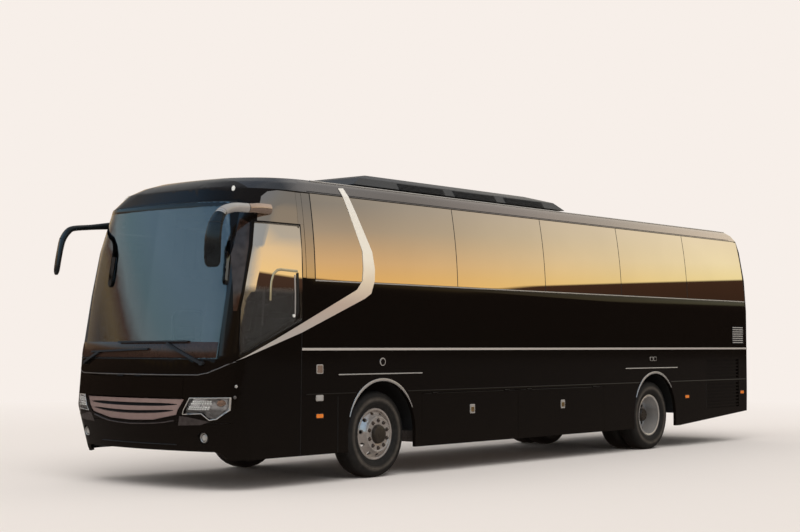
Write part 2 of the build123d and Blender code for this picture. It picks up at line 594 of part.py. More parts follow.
# x, side, radius, low and high z
BELLOWS = [(FRONT_AXLE_X, 90, 560.5, 699.5), (REAR_AXLE_X - 400, 120, 435.5, 699.5), (REAR_AXLE_X + 400, 120, 435.5, 699.5)]
with BuildPart() as air_springs:
    for x, r, low, high in BELLOWS:
        for side in (1, -1):
            y, mid = side * RAIL_Y, (low + high) / 2
            add(upright(x, y, low, high, r))
            add(upright(x, y, mid - 8, mid + 8, r + 5) - upright(x, y, mid - 9, mid + 9, r - 14), mode=Mode.SUBTRACT)
save(air_springs, "air_springs")

# across the wheel from its own mid-plane outwards, radius
FRONT_WHEEL = [
    (-68, 35 + RUNNING), (78, 35 + RUNNING), (78, 0), (150, 0), (150, 60), (140, 72), (105, 75), (100, 170), (62, 258), (62, 275),
    (112, 275), (112, 303), (104, 303), (100, 288), (-100, 288), (-104, 303), (-112, 303), (-112, 275), (50, 275), (50, 256),
    (88, 165), (88, 110), (-68, 110),
]
OUTER_TWIN = [
    (112, 275), (112, 303), (104, 303), (100, 288), (-100, 288), (-104, 303), (-112, 303), (-112, 275), (-62, 275), (-118, 255),
    (-145, 170), (-145, 90), (-133, 90), (-133, 165), (-106, 250), (-50, 275),
]
INNER_TWIN = [
    (-112, 275), (-112, 303), (-104, 303), (-100, 288), (100, 288), (104, 303), (112, 303), (112, 275), (180, 0), (0, 0),
]
HUB = [(600, 60 + RUNNING), (1012, 60 + RUNNING), (1012, 0), (1075, 0), (1075, 80), (1062, 95), (917, 110), (600, 110)]
TYRE = [
    (-99, 288.4), (99, 288.4), (99, 304), (124, 309), (141, 345), (TYRE_HALF, 400), (140, 455), (124, 486), (100, 500), (60, TYRE_R),
    (-60, TYRE_R), (-100, 500), (-124, 486), (-140, 455), (-TYRE_HALF, 400), (-141, 345), (-124, 309), (-99, 304),
]


def turned(profile, x, y, side):
    """A wheel piece from its profile, turned about its own axle line; y is its mid-plane, side its outer face."""
    outline = Wire.make_polygon([Vector(x, side * (y + a), AXLE_Z + r) for a, r in profile], close=True)
    return Solid.revolve(Face(outline), 360, Axis((x, 0, AXLE_Z), (0, 1, 0)))


for name, side in (("left", 1), ("right", -1)):
    with BuildPart() as wheel:
        add(turned(FRONT_WHEEL, FRONT_AXLE_X, FRONT_TRACK_Y, side))
    save(wheel, f"wheel_front_{name}")
    with BuildPart() as tyre:
        add(turned(TYRE, FRONT_AXLE_X, FRONT_TRACK_Y, side))
    save(tyre, f"tyre_front_{name}")
    with BuildPart() as twin:
        add(turned(HUB, REAR_AXLE_X, 0, side))
        add(turned(OUTER_TWIN, REAR_AXLE_X, TWIN_Y[1], side))
        add(turned([(a, r) for a, r in INNER_TWIN[:8]] + [(118, 275), (175, 255), (196, 170), (196, 90), (184, 90), (184, 165), (163, 250), (106, 275)], REAR_AXLE_X, TWIN_Y[0], side))
    save(twin, f"wheel_rear_{name}")
    with BuildPart() as tyres:
        for y in TWIN_Y:
            add(turned(TYRE, REAR_AXLE_X, y, side))
    save(tyres, f"tyre_rear_{name}")

# ---------------------------------------------------------------- engine, tank
with BuildPart() as engine:
    add(block((-5600, -4420), (-RAIL_Y + RAIL_W / 2, RAIL_Y - RAIL_W / 2), (540, 1190)))
save(engine, "engine")

with BuildPart() as fuel_tank:
    add(block((3950, 4400), (-1150, 1150), (440, RAIL_Z[0])))
    fillet(fuel_tank.edges().filter_by(Axis.Y), 40)
save(fuel_tank, "fuel_tank")

# ---------------------------------------------------------------- roof unit, mirrors, wipers, bright trim
with BuildPart() as ac_unit:
    # height, rear x, front x, half width
    for low, high in (((3440, -1060, 3400, 960), (3540, -860, 3220, 900)), ((3540, -860, 3220, 900), (3607, -420, 2900, 700))):
        rings = [Wire.make_polygon([(x0, -w, z), (x1, -w, z), (x1, w, z), (x0, w, z)], close=True) for z, x0, x1, w in (low, high)]
        add(Solid.make_loft(rings, ruled=True))
    add(body_form(-TOUCH, drop=-TOUCH, foot=50), mode=Mode.SUBTRACT)
save(ac_unit, "ac_unit")

# Mirror horns: centre x, distance from the centre plane, z, half thickness, half breadth, and the turn of the
# breadth from straight across, in degrees; from the root on the body out and down to the foot of the head.
HORNS = {
    1: [
        (5040, 1170, 3018, 46, 42, 0), (5240, 1262, 3006, 48, 42, 0), (5420, 1300, 2992, 49, 44, 0), (5640, 1300, 2982, 50, 50, 0),
        (5800, 1300, 2925, 52, 66, 6), (5886, 1300, 2810, 46, 86, 12), (5924, 1300, 2660, 40, 98, 14), (5932, 1300, 2500, 38, 100, 14),
        (5930, 1300, 2385, 34, 92, 14), (5928, 1300, 2340, 18, 55, 14),
    ],
    -1: [
        (5100, 1150, 2950, 55, 45, 0), (5240, 1250, 2940, 42, 42, 0), (5485, 1300, 2912, 32, 42, 0), (5714, 1300, 2885, 32, 46, 0),
        (5798, 1300, 2845, 36, 60, 12), (5868, 1300, 2755, 36, 84, 24), (5905, 1300, 2640, 34, 98, 30), (5935, 1300, 2500, 33, 100, 30),
        (5956, 1300, 2385, 30, 92, 30), (5962, 1300, 2335, 16, 55, 30),
    ],
}


def horn(side):
    """One mirror's arm and head, a straight-ruled loft through ellipses."""
    rows = HORNS[side]
    middles = [Vector(x, side * y, z) for x, y, z, _, _, _ in rows]
    rings = []
    for i, (_, _, _, thick, broad, turn) in enumerate(rows):
        run = middles[min(i + 1, len(rows) - 1)] - middles[max(i - 1, 0)]
        across = Vector(-side * sin(radians(turn)), side * cos(radians(turn)), 0)
        rings.append(Wire([Edge.make_ellipse(broad, thick, plane=Plane(origin=middles[i], x_dir=across, z_dir=run))]))
    return Solid.make_loft(rings, ruled=True)


with BuildPart() as mirrors:
    for side in (1, -1):
        add(horn(side) - body_form(-TOUCH, drop=-TOUCH, foot=50))
save(mirrors, "mirrors")

wiper_layer = body_form(-34) - body_form(-8, foot=50)
pivot_layer = body_form(-34) - body_form(-0.5, foot=50)
front_ledge = block((4500, 6200), (-1400, 1400), (1250, 1650))
wiper_layer &= front_ledge
pivot_layer &= front_ledge
# pivot, far end of the arm, and the blade's two ends, each as (y, z) on the windscreen
WIPERS = [((1003, 1351), (537, 1559), (-233, 1574), (808, 1582)), ((-912, 1347), (-590, 1468), (-760, 1466), (280, 1500))]
with BuildPart() as wipers:
    for pivot, elbow, blade_start, blade_end in WIPERS:
        for (ay, az), (by, bz), half in ((pivot, elbow, 15), (blade_start, blade_end, 9)):
            add(wiper_layer & front_prism([(ay, az - half), (by, bz - half), (by, bz + half), (ay, az + half)]))
        add(pivot_layer & rod((5300, *pivot), (6100, *pivot), 22))
save(wipers, "wipers")

SWOOSH = [
    (5535, 1379), (4576, 1682), (3545, 2079), (3433, 2141), (3372, 2291), (3361, 2426), (3396, 2634), (3763, 3349),
    (3850, 3342), (3562, 2626), (3562, 2418), (3583, 2284), (3676, 2178), (4595, 1773), (4969, 1610),
]
RAIL_LINE_Z = (1484, 1511)
doorways = block((4588, 6000), (-1600, -900), (LOW, 2862)) + block((MID_DOOR_X[0] - 12, MID_DOOR_X[1] + 12), (-1600, -900), (LOW, 2862))
with BuildPart() as bright_trim:
    for side in (1, -1):
        swoosh = side_prism(SWOOSH, side * 700, side * 1500)
        rail = block((-5930, 5000), (side * 1000, side * 1500), RAIL_LINE_Z) - side_prism(
            [(4574, 1400), (6000, 1400), (6000, 1600), (4574, 1600)], side * 900, side * 1600
        )
        pieces = [swoosh, rail]
        for x in (FRONT_AXLE_X, REAR_AXLE_X):
            ring = side_disc(x, ARCH_Z, 645, side * 1000, side * 1500) - side_disc(x, ARCH_Z, 604, side * 900, side * 1600)
            pieces.append(ring & block((x - 700, x + 700), (side * 900, side * 1600), (ARCH_Z + 100, 1300)))
        for piece in pieces:
            add((trim_layer & piece) - doorways)
save(bright_trim, "bright_trim")

# ---------------------------------------------------------------- cab and saloon
COLUMN = ((5420, 700, 1200), (5270, 700, 1500))
COLUMN_DIR = (Vector(*COLUMN[1]) - Vector(*COLUMN[0])).normalized()


def on_column(distance):
    """A point on the steering column's line, measured beyond its top."""
    return Vector(*COLUMN[1]) + COLUMN_DIR * distance


with BuildPart() as dashboard:
    add(side_prism([(5330, PLATFORM_Z + 1), (5330, 1420), (5420, 1480), (5700, 1400), (5660, PLATFORM_Z + 1)], 230, 1060))
    add(side_prism([(5480, PLATFORM_Z + 1), (5480, 1300), (5700, 1360), (5680, PLATFORM_Z + 1)], -330, 232))
    add(rod(COLUMN[0], COLUMN[1], 40))
    add(lining, mode=Mode.INTERSECT)
    add(rod(COLUMN[1], on_column(20), 12))
save(dashboard, "dashboard")

with BuildPart() as steering_wheel:
    for plane_at, radius, thick in ((30, 220, 16),):
        add(Solid.make_torus(radius, thick, Plane(origin=on_column(plane_at), z_dir=COLUMN_DIR)))
    add(rod(on_column(0.6), on_column(40), 45) - rod(on_column(0), on_column(21), 12 + RUNNING))
    for turn in (90, 210, 330):
        spoke_plane = Plane(origin=on_column(24), z_dir=COLUMN_DIR).rotated((0, 0, turn))
        add(spoke_plane * Solid.make_box(190, 30, 12, Plane(origin=(30, -15, -6))))
save(steering_wheel, "steering_wheel")


def seat(x, y, floor_z, width, height):
    """One seat facing forward: cushion, back and a plinth down to the floor; x is the front of the cushion."""
    cushion = block((x - 460, x), (y - width / 2, y + width / 2), (floor_z + 330, floor_z + 460))
    shape = cushion.fillet(30, cushion.edges())
    shape += side_prism([(x - 420, floor_z + 400), (x - 540, floor_z + 400), (x - 680, floor_z + height), (x - 580, floor_z + height)], y - width / 2, y + width / 2)
    shape += block((x - 400, x - 120), (y - 60, y + 60), (floor_z, floor_z + 340))
    return shape


with BuildPart() as driver_seat:
    add(seat(4980, 700, PLATFORM_Z + 0.5, 480, 1120))
save(driver_seat, "driver_seat")

SEAT_PITCH = 790
# front edge of each row's cushions, on the left and on the right, where the middle stairwell parts the rows
SEAT_FRONTS = {
    1: [4300 - row * SEAT_PITCH for row in range(12)],
    -1: [4300 - row * SEAT_PITCH for row in range(6)] + [-1560 - row * SEAT_PITCH for row in range(5)],
}
SEAT_WIDTH = 430
seat_pair = seat(0, 0, 0, SEAT_WIDTH, 1050)
with BuildPart() as seats:
    for side, fronts in SEAT_FRONTS.items():
        for x in fronts:
            for column in (0, 1):
                add(seat_pair.moved(Location((x, side * (560 + column * (SEAT_WIDTH + 14)), FLOOR_Z + 0.5))))
save(seats, "seats")

with BuildPart() as luggage_racks:
    for side in (1, -1):
        add(block((-5500, 4200), (side * 730, side * 1300), (2960, 2985)) & lining)
        add(block((-5500, 4200), (side * 730, side * 750), (2960, 3060)))
save(luggage_racks, "luggage_racks")
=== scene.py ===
import json
from math import asin, atan2, ceil, cos, pi, radians, sin, sqrt

import bmesh
import bpy
from mathutils import Matrix, Vector
from mathutils.bvhtree import BVHTree


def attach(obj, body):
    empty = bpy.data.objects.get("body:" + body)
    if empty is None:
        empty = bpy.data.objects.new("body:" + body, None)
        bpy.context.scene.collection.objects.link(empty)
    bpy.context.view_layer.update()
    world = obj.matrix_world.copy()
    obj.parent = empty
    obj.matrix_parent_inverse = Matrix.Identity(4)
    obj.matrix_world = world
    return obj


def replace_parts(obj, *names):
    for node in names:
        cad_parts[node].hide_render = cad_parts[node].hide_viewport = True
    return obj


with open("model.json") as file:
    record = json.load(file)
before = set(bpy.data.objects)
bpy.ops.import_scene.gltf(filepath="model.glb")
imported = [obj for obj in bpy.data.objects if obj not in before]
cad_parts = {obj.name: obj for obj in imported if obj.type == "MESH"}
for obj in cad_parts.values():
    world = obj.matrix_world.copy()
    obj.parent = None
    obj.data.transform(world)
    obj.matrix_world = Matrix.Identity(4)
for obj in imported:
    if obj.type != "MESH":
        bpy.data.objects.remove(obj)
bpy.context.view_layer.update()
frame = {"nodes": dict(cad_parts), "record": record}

nodes = frame["nodes"]
BODY = "coach_body"

# ------------------------------------------------------------------ camera
LENS_MM = 65.78
SENSOR_MM = 36.0
CAMERA_AT = Vector((16.149, 12.4945, 1.5537))
LOOK = Vector((-0.76175, -0.64567, 0.05347)).normalized()
ROLL = 0.0020

camera_data = bpy.data.cameras.new("camera")
camera_data.sensor_width = SENSOR_MM
camera_data.lens = LENS_MM
camera_data.clip_end = 400.0
camera = bpy.data.objects.new("camera", camera_data)
bpy.context.scene.collection.objects.link(camera)
level_right = LOOK.cross(Vector((0, 0, 1))).normalized()
level_up = level_right.cross(LOOK)
right = level_right * cos(ROLL) + level_up * sin(ROLL)
up = level_up * cos(ROLL) - level_right * sin(ROLL)
camera.matrix_world = Matrix(
    (
        (right.x, up.x, -LOOK.x, CAMERA_AT.x),
        (right.y, up.y, -LOOK.y, CAMERA_AT.y),
        (right.z, up.z, -LOOK.z, CAMERA_AT.z),
        (0, 0, 0, 1),
    )
)
bpy.context.scene.camera = camera
bpy.context.scene.view_settings.view_transform = "Standard"


# ------------------------------------------------------------------ materials
def shader(name, **inputs):
    """A new material with its Principled shader's own values set."""
    material = bpy.data.materials.new(name)
    material.use_nodes = True
    principled = material.node_tree.nodes["Principled BSDF"]
    for label, value in inputs.items():
        principled.inputs[label.replace("_", " ")].default_value = value
    return material, material.node_tree, principled


def object_coordinates(tree, scale=(1, 1, 1)):
    """Object coordinates, scaled."""
    coordinates = tree.nodes.new("ShaderNodeTexCoord")
    mapping = tree.nodes.new("ShaderNodeMapping")
    mapping.inputs["Scale"].default_value = scale
    tree.links.new(coordinates.outputs["Object"], mapping.inputs["Vector"])
    return mapping.outputs["Vector"]


def noise(tree, vector, scale, detail=3.0, roughness=0.5):
    """A noise pattern's strength."""
    pattern = tree.nodes.new("ShaderNodeTexNoise")
    pattern.inputs["Scale"].default_value = scale
    pattern.inputs["Detail"].default_value = detail
    pattern.inputs["Roughness"].default_value = roughness
    tree.links.new(vector, pattern.inputs["Vector"])
    return pattern.outputs["Fac"]


def ramp(tree, strength, stops):
    """Colours by strength: a list of (place, (r, g, b))."""
    colours = tree.nodes.new("ShaderNodeValToRGB")
    elements = colours.color_ramp.elements
    while len(elements) < len(stops):
        elements.new(0.5)
    for element, (place, colour) in zip(elements, stops):
        element.position = place
        element.color = (*colour, 1)
    tree.links.new(strength, colours.inputs["Fac"])
    return colours.outputs["Color"]


def span(tree, strength, low, high, start=0.0, end=1.0):
    """Strength from start to end mapped to low to high."""
    mapped = tree.nodes.new("ShaderNodeMapRange")
    mapped.inputs["From Min"].default_value = start
    mapped.inputs["From Max"].default_value = end
    mapped.inputs["To Min"].default_value = low
    mapped.inputs["To Max"].default_value = high
    tree.links.new(strength, mapped.inputs["Value"])
    return mapped.outputs["Result"]


def maths(tree, operation, first, second=None):
    """One sum on two strengths or numbers."""
    node = tree.nodes.new("ShaderNodeMath")
    node.operation = operation
    for socket, value in zip(node.inputs, (first, second)):
        if value is None:
            continue
        if isinstance(value, (int, float)):
            socket.default_value = value
        else:
            tree.links.new(value, socket)
    return node.outputs[0]


def axes(tree, vector):
    """A vector's three strengths."""
    split = tree.nodes.new("ShaderNodeSeparateXYZ")
    tree.links.new(vector, split.inputs[0])
    return split.outputs


def blended(tree, share, first, second):
    """Two colours mixed by a share."""
    node = tree.nodes.new("ShaderNodeMix")
    node.data_type = "RGBA"
    tree.links.new(share, node.inputs["Factor"])
    for name, colour in (("A", first), ("B", second)):
        socket = [s for s in node.inputs if s.name == name and s.type == "RGBA"][0]
        if isinstance(colour, tuple):
            socket.default_value = (*colour, 1)
        else:
            tree.links.new(colour, socket)
    return [s for s in node.outputs if s.type == "RGBA"][0]


def bump(tree, principled, strength, distance, amount=1.0):
    """Relief on a shader; distance in metres."""
    relief = tree.nodes.new("ShaderNodeBump")
    relief.inputs["Strength"].default_value = amount
    relief.inputs["Distance"].default_value = distance
    tree.links.new(strength, relief.inputs["Height"])
    tree.links.new(relief.outputs["Normal"], principled.inputs["Normal"])


def plain(name, colour, rough, metal=0.0, grain=60.0, relief=0.0002, vary=0.25, stretch=(1, 1, 1), **more):
    """A finish with a little variation of colour and gloss at one grain."""
    material, tree, principled = shader(name, Metallic=metal, **more)
    where = object_coordinates(tree, stretch)
    pattern = noise(tree, where, grain)
    dark = tuple(c * (1 - vary) for c in colour)
    light = tuple(min(1.0, c * (1 + vary)) for c in colour)
    tree.links.new(ramp(tree, pattern, [(0.3, dark), (0.7, light)]), principled.inputs["Base Color"])
    tree.links.new(span(tree, pattern, rough * 0.8, rough * 1.2), principled.inputs["Roughness"])
    if relief:
        bump(tree, principled, pattern, relief)
    return material


def lacquer(name, colour, level):
    """Dark body paint: faint flake and a film of road dust low down."""
    material, tree, principled = shader(name, Specular_IOR_Level=level)
    where = object_coordinates(tree)
    flake = noise(tree, where, 900.0, 1.0)
    height = axes(tree, where)[2]
    dust = maths(tree, "MULTIPLY", span(tree, height, 1.0, 0.0, 0.3, 1.0), noise(tree, where, 2.5, 4.0))
    painted = ramp(tree, flake, [(0.3, tuple(c * 0.8 for c in colour)), (0.7, tuple(c * 1.2 for c in colour))])
    dusty = blended(tree, maths(tree, "MULTIPLY", dust, 0.16), painted, (0.030, 0.022, 0.016))
    tree.links.new(dusty, principled.inputs["Base Color"])
    tree.links.new(span(tree, dust, 0.07, 0.3), principled.inputs["Roughness"])
    return material


def roof_lacquer(name):
    """Roof and dome: the same black at the front; behind it, along the cove, a metallic lacquer with a painted
    reflection of the sky, brightest towards the rear.
    """
    material, tree, principled = shader(name)
    where = object_coordinates(tree)
    along = axes(tree, where)[0]
    cove = span(tree, along, 1.0, 0.0, 4.35, 4.75)
    fleck = noise(tree, where, 700.0, 1.0)
    tree.links.new(maths(tree, "MULTIPLY", cove, 0.85), principled.inputs["Metallic"])
    front = ramp(tree, fleck, [(0.3, (0.009, 0.012, 0.017)), (0.7, (0.011, 0.014, 0.020))])
    # painted reflection of the sky along the cove: pale at the rear, darkening towards the front
    reflection_tones = [
        (0.0, (0.80, 0.68, 0.55)), (0.12, (0.68, 0.58, 0.48)), (0.39, (0.43, 0.38, 0.34)),
        (0.63, (0.28, 0.25, 0.24)), (0.82, (0.19, 0.175, 0.17)), (1.0, (0.21, 0.205, 0.21)),
    ]
    painted_sky_reflection = ramp(tree, span(tree, along, 0.0, 1.0, -6.0, 4.6), reflection_tones)
    flecked = blended(tree, maths(tree, "MULTIPLY", fleck, 0.08), painted_sky_reflection, (0.10, 0.09, 0.09))
    tree.links.new(blended(tree, cove, front, flecked), principled.inputs["Base Color"])
    tree.links.new(span(tree, cove, 0.10, 0.18), principled.inputs["Roughness"])
    principled.inputs["Specular IOR Level"].default_value = 0.55
    return material


def tyre_finish(name, axle_x, mid_ys):
    """Rubber with four grooves round each tread, cross sipes, ribs on the sidewall and pale scuffs; the grooves and
    sipes are painted near black as shade.
    """
    material, tree, principled = shader(name, Specular_IOR_Level=0.35)
    where = object_coordinates(tree)
    x, y, z = axes(tree, where)
    dx, dz = maths(tree, "SUBTRACT", x, axle_x), maths(tree, "SUBTRACT", z, AXLE_Z)
    radius = maths(tree, "SQRT", maths(tree, "ADD", maths(tree, "MULTIPLY", dx, dx), maths(tree, "MULTIPLY", dz, dz)))
    turn = maths(tree, "ARCTAN2", dz, dx)
    tread = maths(tree, "GREATER_THAN", radius, 0.4985)
    across = None
    for mid in mid_ys:
        off = maths(tree, "ABSOLUTE", maths(tree, "SUBTRACT", y, mid))
        across = off if across is None else maths(tree, "MINIMUM", across, off)
    ribs = maths(tree, "ABSOLUTE", maths(tree, "SINE", maths(tree, "MULTIPLY", across, 2 * pi / 0.094)))
    rib = maths(tree, "GREATER_THAN", ribs, 0.22)
    sipe_run = maths(tree, "ADD", maths(tree, "MULTIPLY", turn, 96.0), maths(tree, "MULTIPLY", across, 60.0))
    sipes = maths(tree, "GREATER_THAN", maths(tree, "SINE", sipe_run), -0.86)
    pattern = maths(tree, "MULTIPLY", maths(tree, "MULTIPLY", rib, sipes), tread)
    rings = maths(tree, "MULTIPLY", maths(tree, "SINE", maths(tree, "MULTIPLY", radius, 2 * pi / 0.021)), span(tree, radius, 1.0, 0.0, 0.44, 0.46))
    scuff = noise(tree, where, 18.0, 5.0, 0.7)
    ring_scuff = maths(tree, "MULTIPLY", span(tree, maths(tree, "ABSOLUTE", maths(tree, "SUBTRACT", radius, 0.405)), 1.0, 0.0, 0.0, 0.035), scuff)
    base = ramp(tree, scuff, [(0.3, (0.010, 0.009, 0.008)), (0.75, (0.026, 0.022, 0.019))])
    scuffed = blended(tree, maths(tree, "MULTIPLY", ring_scuff, 1.1), base, (0.13, 0.11, 0.09))
    # painted shade: the grooves and sipes darkened to near black
    groove_shade = maths(tree, "MULTIPLY", maths(tree, "SUBTRACT", tread, pattern), 0.85)
    tree.links.new(blended(tree, groove_shade, scuffed, (0.002, 0.002, 0.002)), principled.inputs["Base Color"])
    tree.links.new(span(tree, scuff, 0.5, 0.8), principled.inputs["Roughness"])
    bump(tree, principled, maths(tree, "ADD", pattern, maths(tree, "MULTIPLY", rings, 0.12)), 0.006)
    return material


def cloth_finish(name, colour, accent, cell):
    """Woven seat cloth: a fine weave with a soft two-tone fleck."""
    material, tree, principled = shader(name, Sheen_Weight=0.35, Sheen_Roughness=0.5)
    where = object_coordinates(tree)
    warp = tree.nodes.new("ShaderNodeTexWave")
    warp.inputs["Scale"].default_value = 1.0 / cell
    tree.links.new(where, warp.inputs["Vector"])
    weft = tree.nodes.new("ShaderNodeTexWave")
    weft.bands_direction = "Y"
    weft.inputs["Scale"].default_value = 1.0 / cell
    tree.links.new(where, weft.inputs["Vector"])
    weave = maths(tree, "MULTIPLY", warp.outputs["Fac"], weft.outputs["Fac"])
    fleck = noise(tree, where, 55.0, 2.0)
    base = ramp(tree, fleck, [(0.42, colour), (0.6, accent)])
    tree.links.new(blended(tree, maths(tree, "MULTIPLY", weave, 0.4), base, tuple(c * 1.9 for c in colour)), principled.inputs["Base Color"])
    tree.links.new(span(tree, weave, 0.75, 0.95), principled.inputs["Roughness"])
    bump(tree, principled, weave, 0.0006)
    return material


def lamp_pattern(name, colour, scale, depth, **more):
    """A fluted lens: fine vertical prisms in clear or tinted plastic."""
    material, tree, principled = shader(name, Roughness=0.08, **more)
    where = object_coordinates(tree)
    flutes = tree.nodes.new("ShaderNodeTexWave")
    flutes.bands_direction = "Y"
    flutes.inputs["Scale"].default_value = scale
    tree.links.new(where, flutes.inputs["Vector"])
    rows = tree.nodes.new("ShaderNodeTexWave")
    rows.bands_direction = "Z"
    rows.inputs["Scale"].default_value = scale * 0.5
    tree.links.new(where, rows.inputs["Vector"])
    both = maths(tree, "ADD", flutes.outputs["Fac"], rows.outputs["Fac"])
    tree.links.new(ramp(tree, both, [(0.0, tuple(c * 0.75 for c in colour)), (1.0, colour)]), principled.inputs["Base Color"])
    bump(tree, principled, both, depth)
    return material


def banded_glass(name):
    """Driver's glass: a strong mirror film above the waist, a thin one below it that lets the cab show."""
    material, tree, principled = shader(name, Roughness=0.01, Transmission_Weight=1.0, IOR=1.45)
    where = object_coordinates(tree)
    height = axes(tree, where)[2]
    film = span(tree, height, 0.30, 1.0, 2.10, 2.18)
    haze = noise(tree, where, 0.8)
    tree.links.new(film, principled.inputs["Metallic"])
    tint = ramp(tree, haze, [(0.3, (1.0, 0.965, 0.90)), (0.7, (1.0, 0.985, 0.94))])
    tree.links.new(blended(tree, film, (0.16, 0.19, 0.21), tint), principled.inputs["Base Color"])
    return material


def swept_trim(name):
    """The wide swept moulding and rails: satin metal with a painted reflection by height, pale high up where it mirrors
    the sky, toned down towards the waist.
    """
    material, tree, principled = shader(name, Metallic=0.18)
    where = object_coordinates(tree)
    height = axes(tree, where)[2]
    brushed = noise(tree, where, 9.0)
    # painted reflection by height: dull at the waist, near white high up
    reflection_tones = [
        (0.0, (0.46, 0.43, 0.41)), (0.10, (0.56, 0.52, 0.48)), (0.18, (0.54, 0.49, 0.45)), (0.34, (0.64, 0.51, 0.42)),
        (0.48, (0.92, 0.80, 0.62)), (0.60, (1.0, 0.96, 0.84)), (1.0, (0.98, 0.95, 0.88)),
    ]
    tree.links.new(ramp(tree, span(tree, height, 0.0, 1.0, 1.3, 3.35), reflection_tones), principled.inputs["Base Color"])
    tree.links.new(span(tree, brushed, 0.18, 0.28), principled.inputs["Roughness"])
    return material


def flooring_finish(name, colour, ribs=0.0):
    """Speckled sheet flooring, ribbed where it is a tread."""
    material, tree, principled = shader(name, Roughness=0.55)
    where = object_coordinates(tree)
    speckle = noise(tree, where, 220.0, 2.0)
    flecks = [(0.35, tuple(c * 0.6 for c in colour)), (0.5, colour), (0.66, tuple(c * 2.2 for c in colour))]
    tree.links.new(ramp(tree, speckle, flecks), principled.inputs["Base Color"])
    if ribs:
        lines = tree.nodes.new("ShaderNodeTexWave")
        lines.bands_direction = "Y"
        lines.inputs["Scale"].default_value = ribs
        tree.links.new(where, lines.inputs["Vector"])
        bump(tree, principled, lines.outputs["Fac"], 0.003)
    else:
        bump(tree, principled, speckle, 0.0003)
    return material


AXLE_Z = 0.505
FRONT_AXLE_X, REAR_AXLE_X = 3.22, -2.98
FRONT_TRACK_Y = 1.045
TWIN_Y = (0.72, 1.05)

black_paint = lacquer("black_lacquer", (0.0052, 0.0038, 0.0030), 0.16)
roof_paint_and_reflection = roof_lacquer("roof_lacquer")
bronze_glass = plain("bronze_mirror_glass", (0.82, 0.71, 0.58), 0.015, metal=1.0, grain=0.8, relief=0.0, vary=0.03)
cab_glazing = plain("cab_glazing", (0.60, 0.54, 0.47), 0.03, metal=1.0, grain=0.8, relief=0.0, vary=0.03)
driver_glass = banded_glass("half_mirror_glass")
screen_glass = plain("windscreen_glass", (0.15, 0.19, 0.21), 0.01, grain=2.0, relief=0.0, vary=0.03, Transmission_Weight=1.0, IOR=2.1)
rim_glass = plain("screen_border", (0.006, 0.006, 0.007), 0.10, grain=40.0, relief=0.0)
foot_print = plain("screen_foot_print", (0.030, 0.016, 0.012), 0.16, grain=40.0, relief=0.0)
chrome = plain("satin_chrome", (0.66, 0.63, 0.59), 0.16, metal=0.60, grain=14.0, relief=0.0, vary=0.05)
bright_line = plain("bright_strip", (0.50, 0.48, 0.45), 0.22, metal=0.45, grain=9.0, relief=0.0, vary=0.04)
trim_finish_and_reflection = swept_trim("bright_trim_lacquer")
arch_chrome = plain("arch_trim", (0.48, 0.46, 0.44), 0.22, metal=0.5, grain=9.0, relief=0.0, vary=0.06)
rose_chrome = plain("rose_chrome", (0.42, 0.31, 0.29), 0.20, metal=0.55, grain=11.0, relief=0.0, vary=0.06)
wheel_metal = plain("polished_aluminium", (0.60, 0.55, 0.51), 0.20, metal=0.62, grain=60.0, relief=0.00004, vary=0.10)
barrel_metal = plain("brushed_rim", (0.52, 0.50, 0.48), 0.22, metal=0.60, grain=25.0, relief=0.00004, vary=0.12, stretch=(1, 8, 1))
nut_steel = plain("nut_steel", (0.20, 0.17, 0.155), 0.22, metal=0.8, grain=80.0, relief=0.0, vary=0.1)
hub_paint = plain("hub_paint", (0.030, 0.023, 0.017), 0.35, grain=40.0, relief=0.0002)
hole_shade = plain("hole_shadow", (0.004, 0.004, 0.004), 0.9, grain=40.0, relief=0.0)
moulded = plain("black_moulding", (0.012, 0.012, 0.013), 0.5, grain=300.0, relief=0.0002)
rubber = plain("rubber_seal", (0.010, 0.010, 0.010), 0.6, grain=200.0, relief=0.0003)
pillar_gloss = plain("pillar_lacquer", (0.100, 0.060, 0.046), 0.10, metal=0.85, grain=12.0, relief=0.0)
gloss_moulding = plain("gloss_moulding", (0.012, 0.014, 0.016), 0.10, grain=8.0, relief=0.0)
roof_unit = plain("roof_unit_moulding", (0.030, 0.032, 0.035), 0.38, grain=160.0, relief=0.0003)
copper_end = plain("copper_lacquer", (0.50, 0.38, 0.31), 0.22, metal=0.75, grain=10.0, relief=0.0, vary=0.06)
arm_silver = plain("arm_lacquer", (0.50, 0.48, 0.46), 0.20, metal=0.45, grain=10.0, relief=0.0, vary=0.06)
lamp_glass = plain("clear_lamp_lens", (0.95, 0.96, 0.97), 0.02, grain=40.0, relief=0.0, vary=0.02, Transmission_Weight=1.0, IOR=1.3)
reflector = plain("lamp_reflector", (0.66, 0.65, 0.63), 0.12, metal=0.55, grain=20.0, relief=0.0, vary=0.06)
lamp_body = plain("lamp_housing", (0.34, 0.33, 0.32), 0.25, metal=0.55, grain=30.0, relief=0.0, vary=0.15)
amber = lamp_pattern("amber_lens", (0.80, 0.22, 0.03), 60.0, 0.0006)
red_lens = lamp_pattern("red_lens", (0.42, 0.010, 0.008), 45.0, 0.0008)
white_lens = lamp_pattern("white_lens", (0.80, 0.80, 0.76), 55.0, 0.0006)
brown_lens = plain("smoked_reflector", (0.20, 0.12, 0.08), 0.18, metal=0.8, grain=30.0, relief=0.0)
chassis_paint = plain("chassis_paint", (0.03, 0.03, 0.032), 0.45, grain=40.0)
casting = plain("cast_iron", (0.06, 0.06, 0.06), 0.55, metal=0.6, grain=150.0, relief=0.0006)
tank_metal = plain("brushed_sheet", (0.45, 0.45, 0.46), 0.35, metal=1.0, grain=50.0)
cloth = cloth_finish("seat_cloth", (0.035, 0.040, 0.060), (0.085, 0.070, 0.055), 0.004)
floor_sheet = flooring_finish("floor_sheet", (0.075, 0.070, 0.066))
step_sheet = flooring_finish("step_tread", (0.05, 0.05, 0.05), 22.0)
